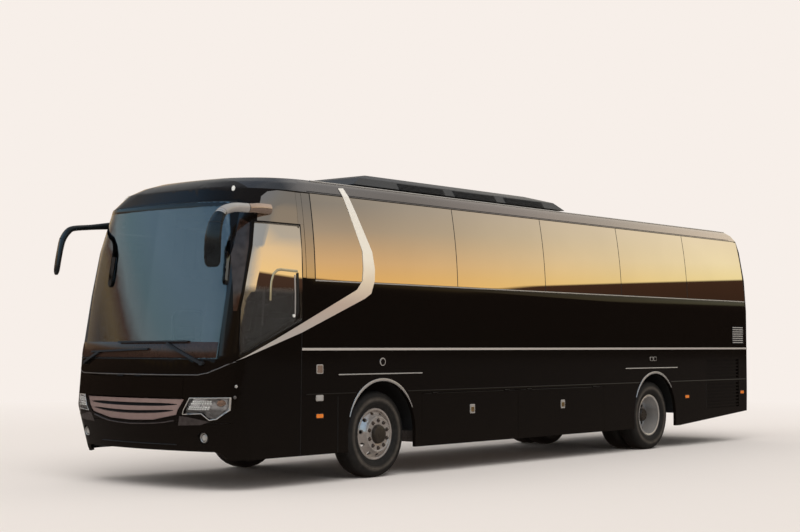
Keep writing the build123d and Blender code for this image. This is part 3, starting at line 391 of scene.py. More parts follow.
tyre_front = tyre_finish("tyre_front_rubber", FRONT_AXLE_X, (FRONT_TRACK_Y, -FRONT_TRACK_Y))
tyre_rear = tyre_finish("tyre_rear_rubber", REAR_AXLE_X, tuple(side * y for side in (1, -1) for y in TWIN_Y))

FINISHES = {
    "black_paint": black_paint, "dark_glass": bronze_glass, "clear_glass": screen_glass, "bright_metal": bright_line,
    "wheel_metal": wheel_metal, "tyre": rubber, "black_plastic": moulded, "gloss_black_plastic": gloss_moulding,
    "lamp_lens": lamp_glass, "red_lens": red_lens, "frame_steel": chassis_paint, "cast_iron": casting, "rubber": rubber,
    "seat_cloth": cloth, "floor_covering": floor_sheet, "tank_aluminium": tank_metal,
}
OWN_FINISH = {
    "roof": roof_paint_and_reflection, "radiator_grille": black_paint, "bright_trim": trim_finish_and_reflection, "ac_unit": roof_unit,
    "grille": rose_chrome, "front_steps": step_sheet, "mid_steps": step_sheet,
}
slot_of = {part["node"]: part["material_slot"] for part in frame["record"]["subparts"]}
for name, node in nodes.items():
    node.data.materials.clear()
    node.data.materials.append(OWN_FINISH.get(name, FINISHES[slot_of[name]]))

# ------------------------------------------------------------------ the body's outer surface, for laying trim on
HALF_WIDTH = 1.275
LEAN_Z, LEAN_R = 2.1, 6.1
SHOULDER_Z, SHOULDER_R = 3.25, 0.23
FRONT_BOW_R, REAR_BOW_R = 3.7, 16.0
NOSE_X = 5.965


def half_width(z):
    """Half the body's width at height z."""
    if z <= LEAN_Z:
        return HALF_WIDTH
    if z <= SHOULDER_Z:
        return HALF_WIDTH - LEAN_R + sqrt(LEAN_R**2 - (z - LEAN_Z) ** 2)
    lean = asin((SHOULDER_Z - LEAN_Z) / LEAN_R)
    centre_y = HALF_WIDTH - LEAN_R + (LEAN_R - SHOULDER_R) * cos(lean)
    centre_z = LEAN_Z + (LEAN_R - SHOULDER_R) * sin(lean)
    return centre_y + sqrt(SHOULDER_R**2 - (z - centre_z) ** 2)


# height, front x, rear x, front and rear corner radius, half width
BODY_LEVELS = [
    (0.33, NOSE_X - 0.165, -5.995, 0.40, 0.08, HALF_WIDTH),
    (0.86, NOSE_X, -6.012, 0.42, 0.08, HALF_WIDTH),
    (1.40, NOSE_X - 0.045, -6.012, 0.42, 0.08, HALF_WIDTH),
    (LEAN_Z, NOSE_X - 0.170, -6.008, 0.42, 0.08, HALF_WIDTH),
    (2.60, NOSE_X - 0.259, -5.990, 0.47, 0.09, half_width(2.60)),
    (3.08, NOSE_X - 0.345, -5.942, 0.65, 0.11, half_width(3.08)),
    (SHOULDER_Z, NOSE_X - 0.490, -5.896, 0.78, 0.13, half_width(SHOULDER_Z)),
    (3.34, NOSE_X - 0.690, -5.815, 0.76, 0.16, half_width(3.34)),
    (3.40, NOSE_X - 0.900, -5.725, 0.70, 0.20, half_width(3.40)),
    (3.45, NOSE_X - 1.300, -5.580, 0.50, 0.20, 0.72),
    (3.47, NOSE_X - 1.800, -5.430, 0.30, 0.19, 0.38),
]
BOW_STEPS, CORNER_STEPS = 14, 12


def end_points(bow_x, bow_r, corner_r, width, facing):
    """One end of a level's outline on the left, from the centre line round the corner."""
    centre = bow_x - facing * bow_r
    run = sqrt((bow_r - corner_r) ** 2 - (width - corner_r) ** 2)
    turn = atan2(width - corner_r, run)
    bow = [(centre + facing * bow_r * cos(turn * i / BOW_STEPS), bow_r * sin(turn * i / BOW_STEPS)) for i in range(BOW_STEPS)]
    corner = []
    for i in range(CORNER_STEPS + 1):
        angle = turn + (pi / 2 - turn) * i / CORNER_STEPS
        corner.append((centre + facing * (run + corner_r * cos(angle)), width - corner_r + corner_r * sin(angle)))
    return bow + corner


def body_surface():
    """A ray tree over the body's closed outer form."""
    corners, faces = [], []
    for z, front_x, rear_x, front_r, rear_r, width in BODY_LEVELS:
        half = end_points(front_x, FRONT_BOW_R, front_r, width, 1) + end_points(rear_x, REAR_BOW_R, rear_r, width, -1)[::-1]
        ring = half + [(x, -y) for x, y in half[-2:0:-1]]
        corners += [(x, y, z) for x, y in ring]
    count = len(corners) // len(BODY_LEVELS)
    for level in range(len(BODY_LEVELS) - 1):
        for i in range(count):
            j = (i + 1) % count
            low, high = level * count, (level + 1) * count
            faces.append((low + i, low + j, high + j, high + i))
    top = (len(BODY_LEVELS) - 1) * count
    faces.append(tuple(range(top, top + count)))
    return BVHTree.FromPolygons(corners, faces)


surface = body_surface()
SHELLS = [
    "side_left", "side_right", "roof", "front_panel", "front_bumper", "front_flap", "windscreen", "rear_panel", "rear_window", "engine_lid",
    "luggage_door_left_front", "luggage_door_left_rear", "luggage_door_right_front", "luggage_door_right_rear", "front_door",
    "front_door_glass", "mid_door", "mid_door_glass", "bright_trim",
]
whole_body = bmesh.new()
for name in SHELLS[:-1]:
    whole_body.from_mesh(nodes[name].data)
shell_tree = BVHTree.FromBMesh(whole_body)
whole_body.free()
NEARBY = 0.014              # how far the shells may lie from the outer form, clear of their gaps
PANE_FOOT, PANE_TOP, PANE_SPAN = 2.2725, 3.2365, (-5.875, 4.566)   # where the band of side glass is one smooth arc
# where a flat piece's across, up and outward directions point on each face of the body
FACES = {
    "left": (Vector((1, 0, 0)), Vector((0, 0, 1)), Vector((0, 1, 0))),
    "right": (Vector((1, 0, 0)), Vector((0, 0, 1)), Vector((0, -1, 0))),
    "front": (Vector((0, 1, 0)), Vector((0, 0, 1)), Vector((1, 0, 0))),
    "rear": (Vector((0, 1, 0)), Vector((0, 0, 1)), Vector((-1, 0, 0))),
    "top": (Vector((1, 0, 0)), Vector((0, 1, 0)), Vector((0, 0, 1))),
}
FAR = 12.0


def on_body(face, u, v, rise=0.0):
    """A point of the body's surface and the outward normal there."""
    across, upward, outward = FACES[face]
    if face in ("left", "right") and v >= PANE_FOOT and PANE_SPAN[0] < u < PANE_SPAN[1] and v < PANE_TOP:
        lean = asin((v - LEAN_Z) / LEAN_R)
        normal = (outward * cos(lean) + Vector((0, 0, sin(lean)))).normalized()
        return across * u + upward * v + outward * half_width(v) + normal * rise, normal
    start = across * u + upward * v + outward * FAR
    hit, normal, _, _ = surface.ray_cast(start, -outward)
    if hit is None:
        raise ValueError(f"{face} {u:.3f} {v:.3f} is off the body")
    near, near_normal, _, _ = shell_tree.ray_cast(hit + outward * NEARBY, -outward, 2 * NEARBY)
    if near is not None:
        hit, normal = near, near_normal
    if normal.dot(outward) < 0:
        normal = -normal
    return hit + normal * rise, normal


def lay(mesh, face):
    """Bends a flat piece, drawn in (across, up, outward), onto one face of the body."""
    for vert in mesh.verts:
        vert.co = on_body(face, vert.co.x, vert.co.y, vert.co.z)[0]
    bmesh.ops.recalc_face_normals(mesh, faces=mesh.faces[:])
    return mesh


# ------------------------------------------------------------------ making pieces
def made(name, mesh, material, body=BODY, smooth=35.0, bevel=0.0):
    """Turns a bmesh into a piece that rides on a body."""
    bmesh.ops.remove_doubles(mesh, verts=mesh.verts[:], dist=1e-6)
    bmesh.ops.recalc_face_normals(mesh, faces=mesh.faces[:])
    data = bpy.data.meshes.new(name)
    mesh.to_mesh(data)
    mesh.free()
    for polygon in data.polygons:
        polygon.use_smooth = True
    data.set_sharp_from_angle(angle=radians(smooth))
    piece = bpy.data.objects.new(name, data)
    bpy.context.scene.collection.objects.link(piece)
    data.materials.append(material)
    if bevel:
        edge = piece.modifiers.new("soft_edges", "BEVEL")
        edge.width = bevel
        edge.segments = 2
        edge.limit_method = "ANGLE"
        edge.angle_limit = radians(40)
        edge.harden_normals = False
    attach(piece, body)
    return piece


def joined(meshes):
    """Several bmeshes as one."""
    whole = bmesh.new()
    for mesh in meshes:
        part = bpy.data.meshes.new("part")
        mesh.to_mesh(part)
        mesh.free()
        whole.from_mesh(part)
        bpy.data.meshes.remove(part)
    return whole


def bar(low, high, bevel=0.0, segments=2):
    """A box between two corners, its edges rounded."""
    mesh = bmesh.new()
    size = [b - a for a, b in zip(low, high)]
    middle = [(a + b) / 2 for a, b in zip(low, high)]
    bmesh.ops.create_cube(mesh, size=1.0, matrix=Matrix.Translation(middle) @ Matrix.Diagonal((*size, 1)))
    if bevel:
        bmesh.ops.bevel(mesh, geom=mesh.edges[:], offset=bevel, offset_type="OFFSET", affect="EDGES", segments=segments, profile=0.5, material=-1)
    return mesh


def panel(outline, thick=0.003, cell=0.12, lift=0.0):
    """A thin flat sheet with a convex outline, counter-clockwise in (across, up), from lift outwards."""
    us, vs = [u for u, _ in outline], [v for _, v in outline]
    wide, tall = max(us) - min(us), max(vs) - min(vs)
    mesh = bmesh.new()
    place = Matrix.Translation(((max(us) + min(us)) / 2, (max(vs) + min(vs)) / 2, lift)) @ Matrix.Diagonal((wide, tall, 1, 1))
    bmesh.ops.create_grid(mesh, x_segments=max(1, ceil(wide / cell)), y_segments=max(1, ceil(tall / cell)), size=0.5, matrix=place)
    for (u0, v0), (u1, v1) in zip(outline, outline[1:] + outline[:1]):
        geom = mesh.verts[:] + mesh.edges[:] + mesh.faces[:]
        bmesh.ops.bisect_plane(mesh, geom=geom, dist=1e-6, plane_co=(u0, v0, lift), plane_no=(v1 - v0, u0 - u1, 0), clear_outer=True)
    bmesh.ops.recalc_face_normals(mesh, faces=mesh.faces[:])
    bmesh.ops.solidify(mesh, geom=mesh.faces[:], thickness=thick)
    base = min(vert.co.z for vert in mesh.verts)
    bmesh.ops.translate(mesh, verts=mesh.verts[:], vec=(0, 0, lift - base))
    return mesh


def rounded(u0, u1, v0, v1, radius, steps=5):
    """A rectangle's outline with rounded corners, counter-clockwise."""
    corners = [(u1 - radius, v0 + radius, -90), (u1 - radius, v1 - radius, 0), (u0 + radius, v1 - radius, 90), (u0 + radius, v0 + radius, 180)]
    points = []
    for u, v, start in corners:
        for i in range(steps + 1):
            angle = radians(start + 90 * i / steps)
            points.append((u + radius * cos(angle), v + radius * sin(angle)))
    return points


def oval(u, v, half_u, half_v, steps=20):
    """An ellipse's outline."""
    return [(u + half_u * cos(2 * pi * i / steps), v + half_v * sin(2 * pi * i / steps)) for i in range(steps)]


def skinned(places, corners, closed=True):
    """A skin over rings: each place is a matrix that puts the unit circle where the ring is."""
    mesh = bmesh.new()
    rings = []
    for place in places:
        verts = bmesh.ops.create_circle(mesh, cap_ends=False, segments=corners, radius=1.0, matrix=place)["verts"]
        rings.append(list({edge for vert in verts for edge in vert.link_edges}))
    for first, second in zip(rings, rings[1:]):
        bmesh.ops.bridge_loops(mesh, edges=first + second)
    if closed:
        for ring in (rings[0], rings[-1]):
            bmesh.ops.edgeloop_fill(mesh, edges=ring)
    return mesh


def along(points, most):
    """A run of points with no step longer than most."""
    dense = [Vector(points[0])]
    for first, second in zip(points, points[1:]):
        first, second = Vector(first), Vector(second)
        steps = max(1, ceil((second - first).length / most))
        dense += [first.lerp(second, i / steps) for i in range(1, steps + 1)]
    return dense


def strip(points, width, rise, most=0.12, corners=8):
    """A low rounded moulding along a line in (across, up)."""
    line = along([(u, v, 0.0) for u, v in points], most)
    places = []
    for i, point in enumerate(line):
        before = (point - line[i - 1]).normalized() if i else (line[1] - point).normalized()
        after = (line[i + 1] - point).normalized() if i + 1 < len(line) else before
        run = (before + after).normalized()
        side = Vector((-run.y, run.x, 0)) * (width / 2) / max(0.5, run.dot(after))
        out = Vector((0, 0, rise))
        places.append(Matrix(((side.x, out.x, run.x, point.x), (side.y, out.y, run.y, point.y), (side.z, out.z, run.z, point.z), (0, 0, 0, 1))))
    mesh = skinned(places, corners)
    for vert in mesh.verts:
        vert.co.z = max(vert.co.z, -0.001)
    return mesh


def tube(points, radius, corners=10, most=0.5):
    """A round bar along a line."""
    line = along(points, most)
    places = []
    for i, point in enumerate(line):
        run = (line[min(i + 1, len(line) - 1)] - line[max(i - 1, 0)]).normalized()
        turn = run.to_track_quat("Z", "Y").to_matrix().to_4x4()
        places.append(Matrix.Translation(point) @ turn @ Matrix.Diagonal((radius, radius, 1, 1)))
    return skinned(places, corners)


def turned(profile, axis_x, steps, closed=True, axis_z=AXLE_Z):
    """A profile of (y, radius) points turned round a cross axis at (axis_x, axis_z)."""
    mesh = bmesh.new()
    verts = [mesh.verts.new((axis_x, y, axis_z + r)) for y, r in profile]
    pairs = list(zip(verts, verts[1:])) + ([(verts[-1], verts[0])] if closed else [])
    edges = [mesh.edges.new(pair) for pair in pairs]
    bmesh.ops.spin(mesh, geom=verts + edges, cent=(axis_x, 0, axis_z), axis=(0, 1, 0), angle=2 * pi, steps=steps, use_merge=True)
    bmesh.ops.remove_doubles(mesh, verts=mesh.verts[:], dist=1e-5)
    bmesh.ops.recalc_face_normals(mesh, faces=mesh.faces[:])
    return mesh


def disc(at, out, radius, thick, corners=24, bevel=0.0):
    """A round boss standing on a point, its edge rounded."""
    mesh = bmesh.new()
    out = Vector(out).normalized()
    place = Matrix.Translation(Vector(at) + out * thick / 2) @ out.to_track_quat("Z", "Y").to_matrix().to_4x4()
    bmesh.ops.create_cone(mesh, cap_ends=True, segments=corners, radius1=radius, radius2=radius, depth=thick, matrix=place)
    if bevel:
        rim = [edge for edge in mesh.edges if any(len(face.verts) > 4 for face in edge.link_faces)]
        bmesh.ops.bevel(mesh, geom=rim, offset=bevel, offset_type="OFFSET", affect="EDGES", segments=2, profile=0.5, material=-1)
    return mesh


def cut(piece, cutter):
    """Takes a bmesh's volume out of a piece and drops the cutter."""
    data = bpy.data.meshes.new("cutter")
    bmesh.ops.recalc_face_normals(cutter, faces=cutter.faces[:])
    cutter.to_mesh(data)
    cutter.free()
    tool = bpy.data.objects.new("cutter", data)
    bpy.context.scene.collection.objects.link(tool)
    holes = piece.modifiers.new("holes", "BOOLEAN")
    holes.operation = "DIFFERENCE"
    holes.solver = "EXACT"
    holes.object = tool
    settled = bpy.data.meshes.new_from_object(piece.evaluated_get(bpy.context.evaluated_depsgraph_get()))
    piece.modifiers.remove(holes)
    old = piece.data
    piece.data = settled
    bpy.data.meshes.remove(old)
    bpy.data.objects.remove(tool)
    bpy.data.meshes.remove(data)
    settled.name = piece.name
    for polygon in settled.polygons:
        polygon.use_smooth = True
    settled.set_sharp_from_angle(angle=radians(32))


def smooth_copy(name, angle=28.0, keep=None, suffix="_surface", material=None):
    """A merged copy of a node with smooth shading over its small steps, or of the part of it that keep() picks."""
    node = nodes[name]
    mesh = bmesh.new()
    mesh.from_mesh(node.data)
    bmesh.ops.remove_doubles(mesh, verts=mesh.verts[:], dist=1e-5)
    if keep:
        drop = [face for face in mesh.faces if not keep(face.calc_center_median())]
        bmesh.ops.delete(mesh, geom=drop, context="FACES")
    data = bpy.data.meshes.new(name + suffix)
    mesh.to_mesh(data)
    mesh.free()
    for polygon in data.polygons:
        polygon.use_smooth = True
    data.set_sharp_from_angle(angle=radians(angle))
    data.materials.append(material or node.data.materials[0])
    copy = bpy.data.objects.new(name + suffix, data)
    bpy.context.scene.collection.objects.link(copy)
    weighted = copy.modifiers.new("flat_first", "WEIGHTED_NORMAL")
    weighted.keep_sharp = True
    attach(copy, bodies_of[name])
    return copy


bodies_of = {}
for name, part in frame["record"]["behaviour"]["bodies"].items():
    for node_name in part if isinstance(part, list) else part.get("nodes", []):
        bodies_of[node_name] = name

# ------------------------------------------------------------------ smooth copies of the curved shells
for name in SHELLS[:-1]:
    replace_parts(smooth_copy(name), name)
TRIM_FOOT_Z = 1.3
trim_surface = smooth_copy("bright_trim", keep=lambda at: at.z > TRIM_FOOT_Z)
# the swept trim stands a little prouder at the waist, clear of the panes it crosses
WAIST_Z, WAIST_REACH, TRIM_LIFT, WAIST_LIFT, LIFT_FROM_Z = 2.33, 0.26, 0.002, 0.007, 1.7
for vertex in trim_surface.data.vertices:
    if vertex.co.z > LIFT_FROM_Z:
        near_waist = max(0.0, 1.0 - abs(vertex.co.z - WAIST_Z) / WAIST_REACH)
        vertex.co.y += (TRIM_LIFT + WAIST_LIFT * near_waist) * (1 if vertex.co.y > 0 else -1)
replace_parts(trim_surface, "bright_trim")
CAB_X = 4.54
cab_pane = smooth_copy("side_glass", keep=lambda at: at.x >= CAB_X, suffix="_cab_pane", material=driver_glass)
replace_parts(cab_pane, "side_glass")

# ------------------------------------------------------------------ strips, seams and flaps on the sides
SIDES = (("left", 1), ("right", -1))
BELT_Z, BAND_TOP_Z = 2.262, 3.235
# where the strips run on each side: the right is broken by its two doorways
DOORS = {"left": [], "right": [(4.60, 5.47), (-1.545, -0.665)]}
DOORWAY_TOP_Z, LEAST_RUN = 2.86, 0.05


def clear_runs(side, start, end, height):
    """Parts of a level line from start back to end that miss the side's doorways."""
    runs = [(start, end)]
    if height < DOORWAY_TOP_Z:
        for x0, x1 in DOORS[side]:
            cut_runs = [piece for a, b in runs for piece in ((a, max(b, x1)), (min(a, x0), b))]
            runs = [(a, b) for a, b in cut_runs if a - b > LEAST_RUN]
    return runs


# name, x from front to rear, z, width, rise, finish
LEVEL_STRIPS = [
    ("belt_strip", 4.36, -5.855, BELT_Z, 0.016, 0.006, bright_line),
    ("glass_top_seal", 4.40, -5.75, 3.262, 0.010, 0.002, rubber),
    ("fender_strip_front", 3.98, 2.494, 1.21, 0.014, 0.006, bright_line),
    ("fender_strip_rear", -2.146, -3.634, 1.21, 0.014, 0.006, bright_line),
    ("skirt_crease_front", 4.50, 3.68, 0.992, 0.024, 0.004, black_paint),
    ("skirt_crease_middle", 2.76, -2.52, 0.992, 0.024, 0.004, black_paint),
    ("skirt_crease_rear", -3.44, -5.86, 0.992, 0.024, 0.004, black_paint),
]
DIVIDERS = (1.795, -0.125, -2.05, -3.965)
for side, sign in SIDES:
    for name, start, end, z, width, rise, finish in LEVEL_STRIPS:
        runs = clear_runs(side, start, end, z)
        parts = [lay(strip([(a, z), (b, z)], width, rise, most=0.4), side) for a, b in runs]
        made(f"{name}_{side}", joined(parts), finish)
    parts = [lay(strip([(x, 2.275), (x, BAND_TOP_Z)], 0.014, 0.002, most=0.12), side) for x in DIVIDERS]
    parts.append(lay(strip([(-5.775, 3.20), (-5.865, 2.28)], 0.012, 0.002, most=0.12), side))
    parts.append(lay(strip([(4.362, 2.275), (4.362, BAND_TOP_Z)], 0.010, 0.002, most=0.12), side))
    made(f"pane_seals_{side}", joined(parts), rubber)
    # a bright strip along each roof edge as a painted highlight of that edge
    made(f"roof_edge_strip_{side}", lay(strip([(4.25, sign * 1.064), (-5.55, sign * 1.064)], 0.014, 0.006, most=0.5), "top"), bright_line)
    seams = [lay(strip([(3.988, 0.34), (3.988, 0.965)], 0.007, 0.0012), side)]
    if side == "left":
        seams.append(lay(strip([(4.575, 1.775), (4.590, 0.345)], 0.007, 0.0012), side))
        seams.append(lay(strip([(-4.54, 0.56), (-4.54, 0.97)], 0.007, 0.0012), side))
    made(f"panel_seams_{side}", joined(seams), rubber)


def flap_set(side, at, half_u, half_v, frame_finish, face_finish, name, radius=0.012, round_one=False):
    """A small flap: a proud frame and an inner face a little higher."""
    u, v = at
    if round_one:
        outer, inner = oval(u, v, half_u, half_v), oval(u, v, half_u * 0.72, half_v * 0.72)
    else:
        in_u, in_v = half_u * 0.74, half_v * 0.78
        outer = rounded(u - half_u, u + half_u, v - half_v, v + half_v, radius)
        inner = rounded(u - in_u, u + in_u, v - in_v, v + in_v, radius * 0.6)
    made(f"{name}_frame_{side}", lay(panel(outer, 0.005, 0.2), side), frame_finish, bevel=0.0015)
    made(f"{name}_face_{side}", lay(panel(inner, 0.004, 0.2, lift=0.004), side), face_finish, bevel=0.001)


# side marker lamps at x and z: the lamp, then its seat, each with half breadth, half height, corner, thickness, finish, bevel
MARKERS = ((4.29, 0.756), (-3.921, 0.76), (-5.724, 0.787))
MARKER_PARTS = (
    ("side_markers", 0.055, 0.022, 0.010, 0.010, amber, 0.003),
    ("side_marker_seats", 0.066, 0.032, 0.014, 0.004, moulded, 0.001),
)
for side, sign in SIDES:
    flap_set(side, (3.223, 1.349), 0.052, 0.048, chrome, black_paint, "filler_flap", round_one=True)
    for i, x in enumerate((-2.868, -2.968)):
        flap_set(side, (x, 1.344), 0.044, 0.030, chrome, black_paint, f"air_flap_{i}")
    for name, half_u, half_v, radius, thick, finish, bevel in MARKER_PARTS:
        shapes = [rounded(x - half_u, x + half_u, z - half_v, z + half_v, radius) for x, z in MARKERS]
        made(f"{name}_{side}", joined([lay(panel(outline, thick, 0.2), side) for outline in shapes]), finish, bevel=bevel)
flap_set("left", (4.29, 1.276), 0.055, 0.052, chrome, copper_end, "side_hatch", radius=0.014)
flap_set("left", (4.29, 0.955), 0.060, 0.034, chrome, reflector, "side_latch")

# a latch in each long luggage door, on the doors themselves
LATCHES = [
    ("left", "luggage_cover_left_front", 1.502), ("left", "luggage_cover_left_rear", -0.519),
    ("right", "luggage_cover_right_front", 1.502), ("right", "luggage_cover_right_rear", -0.10),
]
gold = plain("latch_gold", (0.62, 0.47, 0.26), 0.25, metal=1.0, grain=20.0, relief=0.0)
for side, body, x in LATCHES:
    base = lay(panel(rounded(x - 0.050, x + 0.050, 0.690, 0.806, 0.014), 0.005, 0.2), side)
    made(f"{body}_latch_plate", base, chrome, body=body, bevel=0.0015)
    made(f"{body}_latch_grip", lay(panel(rounded(x - 0.032, x + 0.032, 0.712, 0.772, 0.010), 0.006, 0.2, lift=0.004), side), gold, body=body, bevel=0.002)

# air outlet behind the last side pane, eight blades in a shallow frame, over a black sheet as painted shade
for side, sign in SIDES:
    made(f"outlet_back_shade_{side}", lay(panel(rounded(-5.775, -5.405, 1.570, 1.855, 0.020), 0.003, 0.2), side), hole_shade)
    blades = [lay(strip([(-5.415, 1.592 + i * 0.0345), (-5.765, 1.592 + i * 0.0345)], 0.017, 0.010), side) for i in range(8)]
    made(f"outlet_blades_{side}", joined(blades), arm_silver)

# the mirror-dark panel over and behind the driver's window and the strip ahead of the first pane
CAB_TOP = [(4.60, 2.878), (5.195, 2.878), (5.155, 3.03), (5.08, 3.15), (4.98, 3.212), (4.86, 3.232), (4.60, 3.232)]
for side, sign in SIDES:
    pieces = [lay(panel([(4.375, 2.28), (4.505, 2.28), (4.505, 3.235), (4.375, 3.235)], 0.002, 0.06), side)]
    pieces.append(lay(panel([(4.512, 2.878), (4.594, 2.878), (4.594, 3.232), (4.512, 3.232)], 0.004, 0.05), side))
    pieces.append(lay(panel(CAB_TOP, 0.007, 0.05), side))
    made(f"cab_glazing_{side}", joined(pieces), cab_glazing)
sash_bronze = plain("sash_bronze", (0.62, 0.55, 0.36), 0.25, metal=0.6, grain=14.0, relief=0.0, vary=0.06)
corner = lay(panel([(5.270, 2.845), (5.420, 2.24), (5.500, 1.90), (5.540, 1.90), (5.500, 2.50), (5.360, 2.90)], 0.006, 0.03), "left")
made("corner_post_left", corner, pillar_gloss)
pillar = lay(panel([(4.512, 2.285), (4.562, 2.285), (4.562, 2.888), (4.512, 2.888)], 0.002, 0.06), "left")
made("pillar_cover_left", pillar, cab_glazing)

# driver's window: pale inner frame, sliding sash post with a knob, grab bar behind
WINDOW = [(4.570, 1.810), (4.570, 2.866), (5.222, 2.866), (5.462, 1.936), (5.490, 1.600), (5.490, 1.440)]
FRAME_RUNS = [
    ([(4.594, 1.84), (4.594, 2.862)], 0.044), ([(4.60, 2.842), (5.222, 2.842)], 0.044),
    ([(5.210, 2.850), (5.392, 2.15)], 0.026),
    ([(5.392, 2.15), (5.446, 1.92), (5.474, 1.60), (5.476, 1.46)], 0.014), ([(5.476, 1.462), (4.60, 1.835)], 0.012),
]
frame_parts = [lay(strip(run, width, 0.007, most=0.05), "left") for run, width in FRAME_RUNS]
sash_grey = plain("sash_frame", (0.36, 0.325, 0.27), 0.25, metal=0.75, grain=14.0, relief=0.0, vary=0.06)
made("driver_window_frame", joined(frame_parts), sash_grey)
SASH_LINE = [(5.065, 2.02), (5.060, 2.14), (5.045, 2.23), (5.010, 2.31), (4.955, 2.352), (4.90, 2.362), (4.64, 2.352)]
made("driver_sash_frame", lay(strip(SASH_LINE, 0.030, 0.006, most=0.05), "left"), sash_bronze)
seal_parts = [lay(strip([a, b], 0.009, 0.002, most=0.1), "left") for a, b in zip(WINDOW, WINDOW[1:] + WINDOW[:1])]
made("driver_window_seal", joined(seal_parts), rubber)
made("driver_sash_post", lay(panel([(4.596, 1.850), (4.660, 1.822), (4.660, 2.330), (4.596, 2.345)], 0.006, 0.08), "left"), rubber)
made("driver_sash_edge", lay(strip([(4.684, 1.81), (4.684, 2.31)], 0.020, 0.007, most=0.1), "left"), arm_silver)
at, out = on_body("left", 4.712, 1.862)
made("driver_sash_knob", disc(at, out, 0.018, 0.014, 20, 0.004), white_lens)
INSIDE = 0.06
grab = [on_body("left", u, v, -INSIDE)[0] for u, v in ((4.70, 2.34), (4.98, 2.34), (5.06, 2.30), (5.10, 2.20), (5.12, 1.95), (5.13, 1.75))]
made("cab_grab_bar", tube(grab, 0.014, 12), arm_silver)

# ------------------------------------------------------------------ front
seam_grey = plain("seam_grey", (0.15, 0.14, 0.135), 0.3, metal=0.5, grain=20.0, relief=0.0)
# the lip's grey is a painted highlight
lip_highlight_grey = plain("lip_lacquer", (0.060, 0.050, 0.048), 0.25, metal=0.3, grain=20.0, relief=0.0)
FRONT_LINE = [
    (-1.247, 1.367), (-1.159, 1.302), (-1.06, 1.25), (-0.954, 1.228), (-0.5, 1.225),
    (0.5, 1.225), (0.954, 1.228), (1.06, 1.25), (1.159, 1.302), (1.247, 1.367),
]
made("front_line", lay(strip(FRONT_LINE, 0.011, 0.003, most=0.08), "front"), seam_grey)
BORDER = [(1.160, 1.43), (1.150, 1.70), (1.147, 2.10), (1.138, 2.40), (1.118, 2.75), (1.090, 3.02)]
BORDER_RISE = 0.0012
borders = [
    lay(strip([(-1.10, 1.424), (1.10, 1.424)], 0.05, BORDER_RISE, most=0.06), "front"),
    lay(strip([(-1.06, 3.052), (1.06, 3.052)], 0.055, BORDER_RISE, most=0.06), "front"),
]
for sign in (1, -1):
    borders.append(lay(strip([(sign * y, z) for y, z in BORDER], 0.030, BORDER_RISE, most=0.06), "front"))
made("screen_border", joined(borders), rim_glass)
made("screen_foot_band", lay(strip([(-1.125, 1.490), (1.125, 1.490)], 0.170, 0.0055, most=0.03), "front"), foot_print)
made("screen_foot_seal", lay(strip([(-1.13, 1.394), (1.13, 1.394)], 0.012, 0.004, most=0.06), "front"), rubber)
made("screen_top_seal", lay(strip([(-1.04, 3.084), (1.04, 3.084)], 0.010, 0.003, most=0.06), "front"), rubber)
# the lip under the grille: a grey strip as a painted highlight along the bumper's crease
LIP = [(-0.66, 0.772), (-0.516, 0.738), (-0.392, 0.716), (-0.2, 0.700), (0.0, 0.695), (0.2, 0.700), (0.392, 0.710), (0.516, 0.722), (0.66, 0.745)]
made("bumper_lip", lay(strip(LIP, 0.014, 0.007, most=0.08), "front"), lip_highlight_grey)
made("bumper_groove", lay(strip([(-0.62, 0.486), (0.62, 0.486)], 0.010, 0.003, most=0.08), "front"), moulded)
# a patch under each headlamp in the lip's grey
for side, sign in SIDES:
    spots = [(0.70, 0.694), (0.973, 0.705), (1.10, 0.745), (0.953, 0.768), (0.82, 0.795), (0.74, 0.792)]
    outline = [(sign * u, v) for u, v in spots][::sign]
    made(f"lamp_foot_{side}", lay(panel(outline, 0.0025, 0.03), "front"), lip_highlight_grey)

# grille: chrome fills that leave two thin slots, each backed by a black sheet as painted shade
GRILLE_EDGE = [(-0.807, 0.972), (-0.697, 0.803), (-0.35, 0.741), (0.0, 0.731), (0.35, 0.741), (0.697, 0.803), (0.807, 0.972)]
GRILLE_BACK, GRILLE_THICK = -0.034, 0.022
# reach to each side, height on the centre line and how far the ends lift, half height
GRILLE_SLOTS = [(0.715, 0.909, 0.009, 0.0175), (0.665, 0.820, 0.028, 0.0175)]


def bowed_slot(reach, middle, lift_ends, half, lift, thick):
    """A bowed slot's form that narrows to its ends."""
    mesh = panel([(-reach, -0.03), (reach, -0.03), (reach, 0.03), (-reach, 0.03)], thick, 0.055, lift)
    for vert in mesh.verts:
        share = abs(vert.co.x) / reach
        vert.co.y = middle + lift_ends * share**2 + vert.co.y / 0.03 * half * (1.0 - 0.8 * share**5)
    return mesh


grille_shell = made("grille_shell", lay(panel(GRILLE_EDGE, GRILLE_THICK, 0.05, lift=GRILLE_BACK), "front"), rose_chrome)
cut(grille_shell, joined([lay(bowed_slot(*values, GRILLE_BACK - 0.02, 0.07), "front") for values in GRILLE_SLOTS]))
rounding = grille_shell.modifiers.new("soft_edges", "BEVEL")
rounding.width, rounding.segments, rounding.limit_method, rounding.angle_limit = 0.003, 2, "ANGLE", radians(40)
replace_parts(grille_shell, "grille")
# black sheets behind the slots: painted shade
made("grille_slots", joined([lay(bowed_slot(*values, GRILLE_BACK, 0.002), "front") for values in GRILLE_SLOTS]), hole_shade)

# headlamps: a housing, round reflectors, two rows of bright bars, and a thin clear cover over them
LAMP_UPPER = [(0.785, 0.813), (1.014, 0.825), (1.234, 0.860), (1.234, 0.990), (0.874, 0.985)]
LAMP_LOWER = [(1.014, 0.825), (1.080, 0.756), (1.145, 0.770), (1.234, 0.860)]
LAMP_EDGE = [(0.785, 0.813), (1.014, 0.825), (1.080, 0.756), (1.145, 0.770), (1.234, 0.860), (1.234, 0.990), (0.874, 0.985), (0.785, 0.813)]


